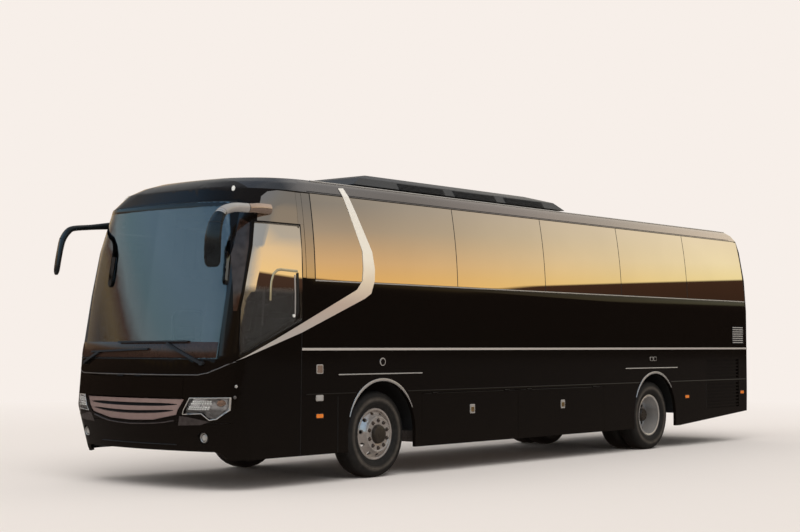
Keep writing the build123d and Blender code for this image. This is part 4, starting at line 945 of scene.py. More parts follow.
def facing(sign, outline):
    """An outline drawn for the left, turned for the right where sign is -1."""
    return [(sign * u, v) for u, v in outline][::sign]


covers = []
for side, sign in SIDES:
    shells = [panel(facing(sign, outline), 0.003, 0.03, lift=-0.003) for outline in (LAMP_UPPER, LAMP_LOWER)]
    covers.append(lay(joined(shells), "front"))
    backs = [panel(facing(sign, outline), 0.004, 0.03, lift=-0.044) for outline in (LAMP_UPPER, LAMP_LOWER)]
    made(f"headlamp_housing_{side}", lay(joined(backs), "front"), lamp_body)
    made(f"headlamp_rim_{side}", lay(strip([(sign * u, v) for u, v in LAMP_EDGE], 0.010, 0.003, most=0.03), "front"), chrome)
    bars = []
    for row, (v, u0, u1) in enumerate(((0.951, 0.905, 1.115), (0.930, 0.885, 1.120), (0.893, 0.868, 1.105), (0.873, 0.855, 1.100))):
        count = 9
        for i in range(count):
            a, b = u0 + (u1 - u0) * i / count, u0 + (u1 - u0) * (i + 0.8) / count
            bars.append(panel(facing(sign, rounded(a, b, v - 0.008, v + 0.008, 0.004, 2)), 0.010, 0.05, lift=-0.028))
    made(f"headlamp_bars_{side}", lay(joined(bars), "front"), white_lens, bevel=0.002)
    bowl_places = ((0.945, 0.912, 0.052, 0.060), (1.062, 0.912, 0.050, 0.058), (1.080, 0.800, 0.030, 0.030))
    bowls = [panel(facing(sign, oval(u, v, hu, hv, 24)), 0.012, 0.03, lift=-0.036) for u, v, hu, hv in bowl_places]
    made(f"headlamp_bowls_{side}", lay(joined(bowls), "front"), lamp_body, bevel=0.006)
    made(f"headlamp_marker_{side}", lay(panel(facing(sign, oval(1.185, 0.935, 0.030, 0.036, 24)), 0.012, 0.03, lift=-0.030), "front"), brown_lens, bevel=0.004)
lens = made("headlamp_covers", joined(covers), lamp_glass)
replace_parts(lens, "front_lamps")

# fog lamps: chrome ring, bowl and lens in each round hole
FOG = (0.970, 0.570)
for side, sign in SIDES:
    at, _ = on_body("front", sign * FOG[0], FOG[1])
    out = Vector((1, 0, 0))
    seat = Vector((at.x - 0.052, sign * FOG[0], FOG[1]))
    made(f"fog_seat_{side}", disc(seat, out, 0.061, 0.026, 32), moulded)
    ring = bmesh.new()
    ring_place = Matrix.Translation(seat + Vector((0.034, 0.046, 0)))
    verts = bmesh.ops.create_circle(ring, cap_ends=False, segments=10, radius=0.006, matrix=ring_place)["verts"]
    edges = list({edge for vert in verts for edge in vert.link_edges})
    bmesh.ops.spin(ring, geom=verts + edges, cent=seat, axis=(1, 0, 0), angle=2 * pi, steps=32, use_merge=True)
    made(f"fog_ring_{side}", ring, chrome)
    made(f"fog_glass_{side}", disc(seat + out * 0.024, out, 0.032, 0.012, 32, 0.004), reflector)

# small lamps: white markers on the dome, two side lamps on each front corner
for side, sign in SIDES:
    at, out = on_body("front", sign * 0.899, 3.241)
    lamp = bmesh.new()
    tilt = out.to_track_quat("Z", "Y").to_matrix().to_4x4()
    bmesh.ops.create_uvsphere(lamp, u_segments=20, v_segments=12, radius=1.0, matrix=Matrix.Translation(at) @ tilt @ Matrix.Diagonal((0.020, 0.045, 0.014, 1)))
    made(f"dome_marker_{side}", lamp, white_lens)
    at, out = on_body(side, 5.54, 1.108)
    made(f"corner_lamp_{side}", disc(at, out, 0.016, 0.006, 20, 0.002), reflector)
    at, out = on_body(side, 5.555, 0.994)
    made(f"corner_sensor_{side}", disc(at, out, 0.018, 0.004, 20, 0.0015), seam_grey)

# ------------------------------------------------------------------ wheels and tyres
HOLES, NUTS = 10, 10
# across the wheel from its mid-plane outwards, radius
FRONT_DISC = [
    (0.078, 0.000), (0.150, 0.000), (0.150, 0.108), (0.158, 0.114), (0.160, 0.128), (0.160, 0.188), (0.164, 0.194), (0.163, 0.202),
    (0.154, 0.207), (0.138, 0.213), (0.108, 0.238), (0.086, 0.260), (0.078, 0.272), (0.090, 0.2768), (0.108, 0.277), (0.112, 0.283),
    (0.112, 0.299), (0.108, 0.303), (0.102, 0.300), (0.100, 0.288), (-0.100, 0.288), (-0.104, 0.303), (-0.112, 0.303), (-0.112, 0.275),
    (0.056, 0.270), (0.066, 0.258), (0.092, 0.232), (0.136, 0.196), (0.136, 0.115), (-0.068, 0.115), (-0.068, 0.0351), (0.078, 0.0351),
]
REAR_DISC = [
    (0.108, 0.277), (0.112, 0.283), (0.112, 0.299), (0.108, 0.303), (0.102, 0.300), (0.100, 0.288), (-0.100, 0.288), (-0.104, 0.303),
    (-0.112, 0.303), (-0.112, 0.275), (-0.062, 0.275), (-0.118, 0.255), (-0.145, 0.170), (-0.145, 0.090), (-0.133, 0.090), (-0.133, 0.165),
    (-0.106, 0.250), (-0.050, 0.272), (0.020, 0.268), (0.030, 0.272),
]
REAR_HUB = [(-0.450, 0.0601), (-0.038, 0.0601), (-0.038, 0.0), (0.025, 0.0), (0.025, 0.080), (0.012, 0.095), (-0.133, 0.110), (-0.450, 0.110)]
INNER_DISC = [
    (-0.112, 0.275), (-0.112, 0.303), (-0.104, 0.303), (-0.100, 0.288), (0.100, 0.288), (0.104, 0.303), (0.112, 0.303), (0.112, 0.275),
    (0.118, 0.275), (0.175, 0.255), (0.196, 0.170), (0.196, 0.090), (0.184, 0.090), (0.184, 0.165), (0.163, 0.250), (0.106, 0.275),
]
TYRE_PROFILE = [(0.099, 0.2884), (0.108, 0.306), (0.134, 0.330), (0.146, 0.400), (0.139, 0.458), (0.118, 0.492), (0.070, 0.505)]
TYRE_STEPS = 35


def across(profile, side, mid):
    """A wheel profile at its place across the coach."""
    return [(side * (mid + a), r) for a, r in profile]


def around(x, side, y, radius, count, start=0.0):
    """Points round a wheel's axle line."""
    for i in range(count):
        angle = 2 * pi * (i + start) / count
        yield Vector((x + radius * cos(angle), side * y, AXLE_Z + radius * sin(angle)))


def nut_ring(x, side, face, radius, count, size):
    """Hexagon nuts with their studs."""
    parts = []
    for at in around(x, side, face, radius, count, 0.5):
        parts += [disc(at, (0, side, 0), size, size * 1.05, 6, size * 0.12), disc(at, (0, side, 0), size * 0.55, size * 1.5, 10, size * 0.1)]
        parts.append(disc(at, (0, side, 0), size * 1.35, size * 0.22, 20))
    return joined(parts)


def hole_cutter(x, side, low, high, radius, count, wide, tall, start=0.0):
    """Oval posts that take the hand holes out of a wheel disc."""
    parts = []
    for i, at in enumerate(around(x, side, (low + high) / 2, radius, count, start)):
        post = bmesh.new()
        turn = Matrix.Rotation(-2 * pi * (i + start) / count, 4, "Y")
        place = Matrix.Translation(at) @ turn @ Matrix.Diagonal((tall, 1, wide, 1)) @ Matrix.Rotation(pi / 2, 4, "X")
        bmesh.ops.create_cone(post, cap_ends=True, segments=18, radius1=1.0, radius2=1.0, depth=high - low, matrix=place)
        parts.append(post)
    return joined(parts)


def tyre_ring(x, side, mid):
    """One tyre."""
    half = across(TYRE_PROFILE, side, mid)
    other = [(side * (mid - a), r) for a, r in TYRE_PROFILE][::-1]
    return turned(half + other, x, TYRE_STEPS)


for side_name, side in SIDES:
    body = f"road_wheel_front_{side_name}"
    wheel = made(f"wheel_disc_front_{side_name}", turned(across(FRONT_DISC, side, FRONT_TRACK_Y), FRONT_AXLE_X, 72), wheel_metal, body=body)
    cut(wheel, hole_cutter(FRONT_AXLE_X, side, FRONT_TRACK_Y + 0.03, FRONT_TRACK_Y + 0.16, 0.241, HOLES, 0.026, 0.0185, 0.21))
    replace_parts(wheel, f"wheel_front_{side_name}")
    made(f"wheel_nuts_front_{side_name}", nut_ring(FRONT_AXLE_X, side, FRONT_TRACK_Y + 0.160, 0.1600, NUTS, 0.0180), nut_steel, body=body)
    cap = [(0.150, 0.1075), (0.182, 0.1060), (0.194, 0.1000), (0.1985, 0.0860), (0.1990, 0.0400), (0.2010, 0.0385), (0.2020, 0.0)]
    made(f"hub_cap_front_{side_name}", turned(across(cap, side, FRONT_TRACK_Y), FRONT_AXLE_X, 40, closed=False), hub_paint, body=body)
    lip = bmesh.new()
    ring_at = Vector((FRONT_AXLE_X, side * (FRONT_TRACK_Y + 0.1635), AXLE_Z + 0.198))
    lip_place = Matrix.Translation(ring_at) @ Matrix.Rotation(pi / 2, 4, "Y")
    verts = bmesh.ops.create_circle(lip, cap_ends=False, segments=8, radius=0.0035, matrix=lip_place)["verts"]
    edges = list({edge for vert in verts for edge in vert.link_edges})
    bmesh.ops.spin(lip, geom=verts + edges, cent=(FRONT_AXLE_X, 0, AXLE_Z), axis=(0, 1, 0), angle=2 * pi, steps=72, use_merge=True)
    made(f"ring_edge_front_{side_name}", lip, chrome, body=body)
    tyre = made(f"tyre_tread_front_{side_name}", tyre_ring(FRONT_AXLE_X, side, FRONT_TRACK_Y), tyre_front, body=body, smooth=50)
    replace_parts(tyre, f"tyre_front_{side_name}")

    body = f"road_wheels_rear_{side_name}"
    outer_wheel = made(f"wheel_disc_rear_{side_name}", turned(across(REAR_DISC, side, TWIN_Y[1]), REAR_AXLE_X, 72), barrel_metal, body=body)
    cut(outer_wheel, hole_cutter(REAR_AXLE_X, side, TWIN_Y[1] - 0.19, TWIN_Y[1] - 0.08, 0.212, HOLES, 0.027, 0.019))
    inner_parts = [
        turned(across(INNER_DISC, side, TWIN_Y[0]), REAR_AXLE_X, 48), turned(across(REAR_HUB, side, TWIN_Y[1]), REAR_AXLE_X, 40),
    ]
    inner_wheel = made(f"wheel_disc_inner_{side_name}", joined(inner_parts), hub_paint, body=body)
    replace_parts(outer_wheel, f"wheel_rear_{side_name}")
    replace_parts(inner_wheel, f"wheel_rear_{side_name}")
    edge_profile = [
        (0.1005, 0.2895), (0.1075, 0.3045), (0.1135, 0.3035), (0.1150, 0.2990), (0.1150, 0.2830),
        (0.1105, 0.2755), (0.1050, 0.2742), (0.1050, 0.2765), (0.1125, 0.2835), (0.1125, 0.2985),
    ]
    made(f"wheel_lip_rear_{side_name}", turned(across(edge_profile, side, TWIN_Y[1]), REAR_AXLE_X, 72), chrome, body=body)
    nuts = nut_ring(REAR_AXLE_X, side, TWIN_Y[1] - 0.133, 0.1375, NUTS, 0.0165)
    cap_bolts = joined([disc(at, (0, side, 0), 0.008, 0.007, 6, 0.001) for at in around(REAR_AXLE_X, side, TWIN_Y[1] + 0.025, 0.062, 8)])
    made(f"wheel_nuts_rear_{side_name}", joined([nuts, cap_bolts]), nut_steel, body=body)
    twins = joined([tyre_ring(REAR_AXLE_X, side, mid) for mid in TWIN_Y])
    tyre = made(f"tyre_tread_rear_{side_name}", twins, tyre_rear, body=body, smooth=50)
    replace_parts(tyre, f"tyre_rear_{side_name}")

# bright mouldings round the arches, narrow at their ends: angle of the front end and of the rear end
ARCH_RUNS = {"front": (FRONT_AXLE_X, 20.0, 152.0), "rear": (REAR_AXLE_X, 26.0, 140.0)}
ARCH_Z = 0.52
ARCH_TRIM_R, ARCH_TRIM_WIDE, ARCH_TAPER = 0.622, 0.034, 30.0
for x_name, (x, first, last) in ARCH_RUNS.items():
    for side_name, side in SIDES:
        steps = 30
        angles = [radians(first + (last - first) * i / steps) for i in range(steps + 1)]
        line = [(x + ARCH_TRIM_R * cos(a), ARCH_Z + ARCH_TRIM_R * sin(a)) for a in angles]
        mesh = strip(line, ARCH_TRIM_WIDE, 0.010, most=0.2)
        for vert in mesh.verts:
            away_x, away_z = vert.co.x - x, vert.co.y - ARCH_Z
            degrees_on = atan2(away_z, away_x) * 180 / pi
            reach = (away_x**2 + away_z**2) ** 0.5
            share = min(1.0, 0.25 + 0.75 * min(degrees_on - first, last - degrees_on) / ARCH_TAPER)
            inner = ARCH_TRIM_R - ARCH_TRIM_WIDE / 2
            wanted = inner + (reach - inner) * max(0.25, share)
            vert.co.x, vert.co.y = x + away_x * wanted / reach, ARCH_Z + away_z * wanted / reach
        made(f"arch_trim_{x_name}_{side_name}", lay(mesh, side_name), arch_chrome)

# dark liners inside the four arches
for x_name, x in (("front", FRONT_AXLE_X), ("rear", REAR_AXLE_X)):
    for side_name, side in SIDES:
        liner = bmesh.new()
        corners = [liner.verts.new((x + r, side * y, ARCH_Z)) for y, r in ((0.56, 0.606), (1.225, 0.606), (1.225, 0.612), (0.56, 0.612))]
        edges = [liner.edges.new(pair) for pair in zip(corners, corners[1:] + corners[:1])]
        ends = bmesh.ops.spin(liner, geom=corners + edges, cent=(x, 0, ARCH_Z), axis=(0, 1, 0), angle=-pi, steps=28)
        bmesh.ops.edgeloop_fill(liner, edges=edges)
        bmesh.ops.edgeloop_fill(liner, edges=[e for e in ends["geom_last"] if isinstance(e, bmesh.types.BMEdge)])
        made(f"arch_liner_{x_name}_{side_name}", liner, rubber)

# ------------------------------------------------------------------ mirrors
# centre x, distance from the centre plane, z, half thickness, half breadth, turn of the breadth in degrees
HORNS = {
    1: [
        (5.035, 1.222, 3.010, 0.060, 0.046, 0), (5.240, 1.272, 3.006, 0.056, 0.044, 0), (5.420, 1.300, 2.992, 0.050, 0.044, 0),
        (5.640, 1.300, 2.982, 0.050, 0.050, 0), (5.800, 1.300, 2.925, 0.052, 0.066, 6), (5.886, 1.300, 2.810, 0.046, 0.086, 12),
        (5.924, 1.300, 2.660, 0.040, 0.098, 14), (5.932, 1.300, 2.500, 0.038, 0.100, 14), (5.930, 1.300, 2.385, 0.034, 0.092, 14),
        (5.928, 1.300, 2.345, 0.018, 0.055, 14),
    ],
    -1: [
        (5.100, 1.150, 2.950, 0.055, 0.045, 0), (5.240, 1.250, 2.940, 0.042, 0.042, 0), (5.485, 1.300, 2.912, 0.032, 0.042, 0),
        (5.714, 1.300, 2.885, 0.032, 0.046, 0), (5.798, 1.300, 2.845, 0.036, 0.060, 12), (5.868, 1.300, 2.755, 0.036, 0.084, 24),
        (5.903, 1.300, 2.640, 0.034, 0.098, 30), (5.931, 1.300, 2.500, 0.033, 0.100, 30), (5.949, 1.300, 2.385, 0.030, 0.092, 30),
        (5.954, 1.300, 2.340, 0.016, 0.055, 30),
    ],
}


def horn_row(rows, place):
    """A row of the horn table at a place between two rows."""
    i = min(int(place), len(rows) - 2)
    share = place - i
    before, first, second, after = rows[max(i - 1, 0)], rows[i], rows[i + 1], rows[min(i + 2, len(rows) - 1)]
    result = []
    for p0, p1, p2, p3 in zip(before, first, second, after):
        result.append(0.5 * (2 * p1 + (p2 - p0) * share + (2 * p0 - 5 * p1 + 4 * p2 - p3) * share**2 + (3 * p1 - p0 - 3 * p2 + p3) * share**3))
    return result


def horn_skin(side, start, end, steps, grow=0.0, shift=0.0, corners=20):
    """The skin of a mirror horn from one place of its table to another."""
    rows = HORNS[side]
    places = []
    for i in range(steps + 1):
        here = start + (end - start) * i / steps
        x, y, z, thick, broad, turn = horn_row(rows, here)
        ahead_row, behind_row = horn_row(rows, min(here + 0.05, len(rows) - 1)), horn_row(rows, max(here - 0.05, 0))
        middle = Vector((x + shift, side * y, z))
        run = (Vector((ahead_row[0], side * ahead_row[1], ahead_row[2])) - Vector((behind_row[0], side * behind_row[1], behind_row[2]))).normalized()
        wide = Vector((-sin(radians(turn)), side * cos(radians(turn)), 0))
        deep = run.cross(wide).normalized()
        a, b = wide * (broad + grow), deep * (thick + grow)
        places.append(Matrix(((a.x, b.x, run.x, middle.x), (a.y, b.y, run.y, middle.y), (a.z, b.z, run.z, middle.z), (0, 0, 0, 1))))
    return skinned(places, corners)


mirror_gloss = plain("mirror_housing", (0.010, 0.012, 0.013), 0.14, grain=12.0, relief=0.0, Specular_IOR_Level=0.35)
mirror_glass = plain("mirror_glass", (0.80, 0.82, 0.84), 0.02, metal=1.0, grain=2.0, relief=0.0, vary=0.02)
for side_name, side in SIDES:
    head = made(f"mirror_head_{side_name}", horn_skin(side, 4.0, 9.0, 26), mirror_gloss, smooth=60)
    arm = made(f"mirror_arm_{side_name}", horn_skin(side, 2.10, 4.3, 18), arm_silver if side > 0 else mirror_gloss, smooth=60)
    root_finish = copper_end if side > 0 else mirror_gloss
    root_skin = horn_skin(side, 0.0, 2.05, 12, grow=-0.001)
    root = made(f"mirror_root_{side_name}", root_skin, root_finish, smooth=60)
    made(f"mirror_collar_{side_name}", horn_skin(side, 2.03, 2.12, 2, grow=-0.003), rubber, smooth=60)
    made(f"mirror_seam_{side_name}", horn_skin(side, 5.05, 5.12, 2, grow=0.0012), rubber, smooth=60)
    made(f"mirror_plate_{side_name}", horn_skin(side, 5.6, 8.7, 16, grow=-0.010, shift=-0.014), mirror_glass, smooth=60)
    for piece in (head, arm, root):
        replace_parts(piece, "mirrors")

# ------------------------------------------------------------------ roof unit
unit = bmesh.new()
unit.from_mesh(nodes["ac_unit"].data)
bmesh.ops.remove_doubles(unit, verts=unit.verts[:], dist=1e-5)
bmesh.ops.dissolve_limit(unit, angle_limit=radians(1.0), verts=unit.verts[:], edges=unit.edges[:])
top_faces = [face for face in unit.faces if face.normal.z > 0.99 and face.calc_center_median().z > 3.60]
bmesh.ops.inset_region(unit, faces=top_faces, thickness=0.060, depth=0.0)
bmesh.ops.inset_region(unit, faces=top_faces, thickness=0.006, depth=-0.014)
unit_piece = made("roof_unit_cover", unit, roof_unit, smooth=20, bevel=0.010)
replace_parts(unit_piece, "ac_unit")
FAN_X = (0.15, 0.85, 1.55, 2.25)
fans = []
for x in FAN_X:
    for y in (-0.33, 0.33):
        at = Vector((x, y, 3.5925))
        fans.append(disc(at, (0, 0, 1), 0.24, 0.006, 40, 0.002))
        for radius in (0.06, 0.12, 0.18, 0.225):
            ring = bmesh.new()
            wire_place = Matrix.Translation(at + Vector((radius, 0, 0.007))) @ Matrix.Rotation(pi / 2, 4, "X")
            verts = bmesh.ops.create_circle(ring, cap_ends=False, segments=6, radius=0.004, matrix=wire_place)["verts"]
            edges = list({edge for vert in verts for edge in vert.link_edges})
            bmesh.ops.spin(ring, geom=verts + edges, cent=at, axis=(0, 0, 1), angle=2 * pi, steps=32, use_merge=True)
            fans.append(ring)
        for i in range(6):
            way = Vector((cos(pi * i / 6), sin(pi * i / 6), 0))
            fans.append(tube([at - way * 0.228 + Vector((0, 0, 0.008)), at + way * 0.228 + Vector((0, 0, 0.008))], 0.003, 6))
made("roof_unit_fans", joined(fans), moulded)
vents = []
for x0, x1 in ((-0.55, 0.35), (0.55, 1.45), (1.65, 2.55)):
    for side in (1, -1):
        for i in range(5):
            share = (i + 0.7) / 6
            y, z = 0.960 - 0.060 * share, 3.44 + 0.10 * share
            vents.append(bar((x0, side * y - 0.010, z - 0.003), (x1, side * y + 0.004 * side + 0.004, z + 0.003), 0.0015))
made("roof_unit_vents", joined(vents), rubber)

# ------------------------------------------------------------------ rear
for side_name, side in SIDES:
    rims = []
    for y0, y1, z0, z1 in ((0.930, 1.130, 0.900, 1.180), (0.930, 1.130, 1.200, 1.480), (1.000, 1.080, 3.000, 3.080)):
        loop = rounded(side * (y0 if side > 0 else y1), side * (y1 if side > 0 else y0), z0, z1, 0.02, 3) if side > 0 else rounded(-y1, -y0, z0, z1, 0.02, 3)
        rims.append(lay(strip(loop + loop[:1], 0.012, 0.004, most=0.08), "rear"))
    made(f"tail_lamp_rims_{side_name}", joined(rims), chrome)
    y0, y1 = (0.945, 1.115) if side > 0 else (-1.115, -0.945)
    made(f"tail_turn_lamp_{side_name}", lay(panel(rounded(y0, y1, 1.385, 1.465, 0.02, 3), 0.004, 0.06), "rear"), amber, bevel=0.002)
    made(f"tail_reverse_lamp_{side_name}", lay(panel(rounded(y0, y1, 0.915, 0.975, 0.02, 3), 0.004, 0.06), "rear"), white_lens, bevel=0.002)
    y0, y1 = (0.80, 1.10) if side > 0 else (-1.10, -0.80)
    made(f"rear_reflector_{side_name}", lay(panel(rounded(y0, y1, 0.700, 0.740, 0.012, 3), 0.006, 0.06), "rear"), red_lens, bevel=0.002)
louvres = [lay(strip([(-0.62, 0.95 + i * 0.034), (0.62, 0.95 + i * 0.034)], 0.018, 0.007, most=0.1), "rear") for i in range(11)]
made("engine_lid_louvres", joined(louvres), moulded, body="engine_cover")
made("engine_lid_handle", lay(panel(rounded(-0.09, 0.09, 1.40, 1.45, 0.02, 4), 0.008, 0.06), "rear"), chrome, body="engine_cover", bevel=0.002)
made("rear_bumper_strip", lay(strip([(-1.15, 0.79), (1.15, 0.79)], 0.016, 0.006, most=0.08), "rear"), seam_grey)
made("rear_bumper_pad", lay(panel(rounded(-0.30, 0.30, 0.585, 0.695, 0.02, 4), 0.004, 0.06), "rear"), moulded, bevel=0.001)
rear_rim = rounded(-0.95, 0.95, 2.27, 3.12, 0.06, 4)
made("rear_window_seal", lay(strip(rear_rim + rear_rim[:1], 0.014, 0.003, most=0.08), "rear"), rubber)
made("rear_belt_strip", lay(strip([(-1.19, 2.225), (1.19, 2.225)], 0.014, 0.005, most=0.06), "rear"), bright_line)
made("high_stop_lamp", lay(panel(rounded(-0.22, 0.22, 3.145, 3.175, 0.012, 3), 0.006, 0.05), "rear"), red_lens, bevel=0.002)

# ------------------------------------------------------------------ passenger doors
FRONT_LEAF = [(4.606, 0.356), (5.464, 0.356), (5.464, 2.089), (5.276, 2.844), (4.606, 2.844)]
MID_LEAF = [(-1.524, 0.356), (-0.686, 0.356), (-0.686, 2.844), (-1.524, 2.844)]
for name, leaf, grip_x, seal_x in (("front_door", FRONT_LEAF, 4.70, 4.60), ("mid_door", MID_LEAF, -0.78, -0.68)):
    body = f"{name}_leaf"
    low, high = 1.085, 2.79
    inner = [(x + (0.035 if x < sum(p[0] for p in leaf) / len(leaf) else -0.035), min(max(z, low), high)) for x, z in leaf]
    trim = [lay(strip([a, b], 0.010, 0.002, most=0.1), "right") for a, b in zip(inner, inner[1:] + inner[:1])]
    made(f"{name}_glass_seal", joined(trim), rubber, body=body)
    grip = lay(panel(rounded(grip_x - 0.020, grip_x + 0.020, 0.86, 1.02, 0.018, 4), 0.010, 0.06), "right")
    made(f"{name}_handle", grip, chrome, body=body, bevel=0.004)
    made(f"{name}_lock", lay(panel(oval(grip_x, 0.80, 0.018, 0.018, 18), 0.006, 0.06), "right"), chrome, body=body, bevel=0.002)

# ------------------------------------------------------------------ side panes, smooth over their height
PANE_X = (4.36, 1.795, -0.125, -2.05, -3.965, -5.76)
PANE_LOW, PANE_HIGH, TAIL_LEAN, PANE_GAP = 2.27, 3.243, 0.105, 0.003
LEFT_PANES = list(zip(PANE_X, PANE_X[1:]))
RIGHT_PANES = LEFT_PANES[:1] + [LEFT_PANES[1], (-0.125, -0.666), (-1.544, -2.05)] + LEFT_PANES[3:]
for side_name, spans in (("left", LEFT_PANES), ("right", RIGHT_PANES)):
    parts = []
    for front_x, rear_x in spans:
        lean = TAIL_LEAN if rear_x == PANE_X[-1] else 0.0
        low, high = PANE_LOW + PANE_GAP, PANE_HIGH - PANE_GAP
        outline = [(rear_x - lean + PANE_GAP, low), (front_x - PANE_GAP, low), (front_x - PANE_GAP, high), (rear_x + PANE_GAP, high)]
        parts.append(lay(panel(outline, 0.008, 0.06, lift=-0.008), side_name))
    piece = made(f"side_panes_{side_name}", joined(parts), bronze_glass)
    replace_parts(piece, "side_glass")

# ------------------------------------------------------------------ padded seats
PAD_FRAMES, PAD_PRESSURE = 20, 4.0


def swelled(name, mesh, voxel, cap, keep):
    """A closed form as stuffed cloth: even mesh, then pressure, each point held within cap of where it began."""
    data = bpy.data.meshes.new(name)
    mesh.to_mesh(data)
    mesh.free()
    form = bpy.data.objects.new(name, data)
    bpy.context.scene.collection.objects.link(form)
    even = form.modifiers.new("even", "REMESH")
    even.mode = "VOXEL"
    even.voxel_size = voxel
    start = bpy.data.meshes.new_from_object(form.evaluated_get(bpy.context.evaluated_depsgraph_get()))
    bpy.data.objects.remove(form)
    bpy.data.meshes.remove(data)
    pad = bpy.data.objects.new(name, start)
    bpy.context.scene.collection.objects.link(pad)
    stuffing = pad.modifiers.new("stuffing", "CLOTH")
    stuffing.settings.quality = 4
    stuffing.settings.use_pressure = True
    stuffing.settings.uniform_pressure_force = PAD_PRESSURE
    stuffing.settings.effector_weights.gravity = 0.0
    stuffing.point_cache.frame_start = 1
    stuffing.point_cache.frame_end = PAD_FRAMES
    for frame_number in range(1, PAD_FRAMES + 1):
        bpy.context.scene.frame_set(frame_number)
    swollen = bpy.data.meshes.new_from_object(pad.evaluated_get(bpy.context.evaluated_depsgraph_get()))
    pad.modifiers.remove(stuffing)
    for old, new in zip(start.vertices, swollen.vertices):
        shift = new.co - old.co
        old.co = old.co + shift * min(1.0, cap / max(shift.length, 1e-9))
    bpy.data.meshes.remove(swollen)
    bpy.context.scene.frame_set(1)
    fewer = pad.modifiers.new("fewer", "DECIMATE")
    fewer.ratio = min(1.0, keep / max(1, len(start.polygons) * 2))
    result = bmesh.new()
    light = bpy.data.meshes.new_from_object(pad.evaluated_get(bpy.context.evaluated_depsgraph_get()))
    result.from_mesh(light)
    bpy.data.meshes.remove(light)
    bpy.data.objects.remove(pad)
    bpy.data.meshes.remove(start)
    return result


def channel(mesh, axis, places, depth, width, facing_axis, facing_sign):
    """Sewn channels pressed into one face of a pad."""
    for vert in mesh.verts:
        if vert.normal[facing_axis] * facing_sign > 0.3:
            near = min(abs(vert.co[axis] - place) for place in places)
            vert.co[facing_axis] -= facing_sign * depth * max(0.0, 1 - near / width) ** 2


def repeated(mesh, places):
    """Copies of a mesh at several places."""
    data = bpy.data.meshes.new("unit")
    mesh.to_mesh(data)
    mesh.free()
    whole = bmesh.new()
    for place in places:
        before = set(whole.verts)
        whole.from_mesh(data)
        bmesh.ops.translate(whole, verts=[vert for vert in whole.verts if vert not in before], vec=place)
    bpy.data.meshes.remove(data)
    return whole


def many(mesh, places):
    """The same as repeated, gathered by halves so that long rows stay quick."""
    if len(places) <= 4:
        return repeated(mesh, places)
    half = len(places) // 2
    copy = mesh.copy()
    return joined([many(mesh, places[:half]), many(copy, places[half:])])


def lean_back(mesh, foot, rate):
    """Leans a seat back: each point moves rearward with its height above foot."""
    for vert in mesh.verts:
        vert.co.x -= rate * max(0.0, vert.co.z - foot)
    return mesh


SEAT_HALF, SEAT_DEPTH = 0.215, 0.46
BACK_LEAN = 0.235
SEAT_FLOOR = 1.2905
SEAT_PITCH = 0.79
FIRST_SEAT_X, SEAT_BEHIND_DOOR_X = 4.3, -1.56
SEAT_FRONTS = {
    1: [FIRST_SEAT_X - row * SEAT_PITCH for row in range(12)],
    -1: [FIRST_SEAT_X - row * SEAT_PITCH for row in range(6)] + [SEAT_BEHIND_DOOR_X - row * SEAT_PITCH for row in range(5)],
}
places = []
for side, fronts in SEAT_FRONTS.items():
    for x in fronts:
        for column in (0, 1):
            places.append(Vector((x, side * (0.560 + column * 0.444), SEAT_FLOOR)))


def seat_set(prefix, spots, half, height, detail):
    """Cushion, back, head pad and frame of one kind of seat, at each spot."""
    cushion = swelled(prefix + "_cushion", bar((-SEAT_DEPTH + 0.012, -half + 0.012, 0.342), (-0.012, half - 0.012, 0.448), 0.028, 3), detail, 0.022, 1300)
    channel(cushion, 1, (-half * 0.52, half * 0.52), 0.012, 0.018, 2, 1)
    channel(cushion, 0, (-0.12,), 0.008, 0.016, 2, 1)
    back = swelled(prefix + "_back", bar((-0.545, -half + 0.012, 0.405), (-0.440, half - 0.012, height - 0.25), 0.030, 3), detail, 0.022, 1300)
    channel(back, 1, (-half * 0.52, half * 0.52), 0.012, 0.018, 0, 1)
    channel(back, 2, (0.56,), 0.008, 0.016, 0, 1)
    lean_back(back, 0.40, BACK_LEAN)
    head = swelled(prefix + "_head", bar((-0.530, -half * 0.70, height - 0.225), (-0.455, half * 0.70, height - 0.012), 0.030, 3), detail, 0.014, 700)
    channel(head, 2, (height - 0.07,), 0.006, 0.014, 0, 1)
    lean_back(head, 0.40, BACK_LEAN)
    shell_back = lean_back(bar((-0.558, -half + 0.02, 0.40), (-0.548, half - 0.02, height - 0.03), 0.004, 1), 0.40, BACK_LEAN)
    parts = [
        bar((-0.42, -half + 0.05, 0.300), (-0.05, half - 0.05, 0.338), 0.008, 1), bar((-0.39, -0.055, 0.0), (-0.13, 0.055, 0.302), 0.012, 1),
        bar((-0.43, -0.075, 0.0), (-0.09, 0.075, 0.012), 0.003, 1), shell_back,
    ]
    rest = [
        bar((-0.40, half - 0.034, 0.600), (-0.10, half + 0.002, 0.630), 0.010, 2),
        tube([(-0.52, half - 0.016, 0.60), (-0.40, half - 0.016, 0.615)], 0.008, 6),
    ]
    for kind, mesh, finish, fill in (("cushions", cushion, cloth, 0.6), ("backs", back, cloth, 0.6), ("head_pads", head, hide, 0.7)):
        piece = made(f"{prefix}_{kind}", many(mesh, spots), finish, smooth=180)
        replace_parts(piece, prefix)
    made(f"{prefix}_frames", many(joined(parts), spots), moulded)
    made(f"{prefix}_arm_rests", many(joined(rest), spots), hide)


hide = plain("seat_hide", (0.020, 0.018, 0.017), 0.5, grain=260.0, relief=0.0004)
seat_set("seats", places, SEAT_HALF, 1.05, 0.0125)
seat_set("driver_seat", [Vector((4.98, 0.70, 1.001))], 0.240, 1.12, 0.0125)

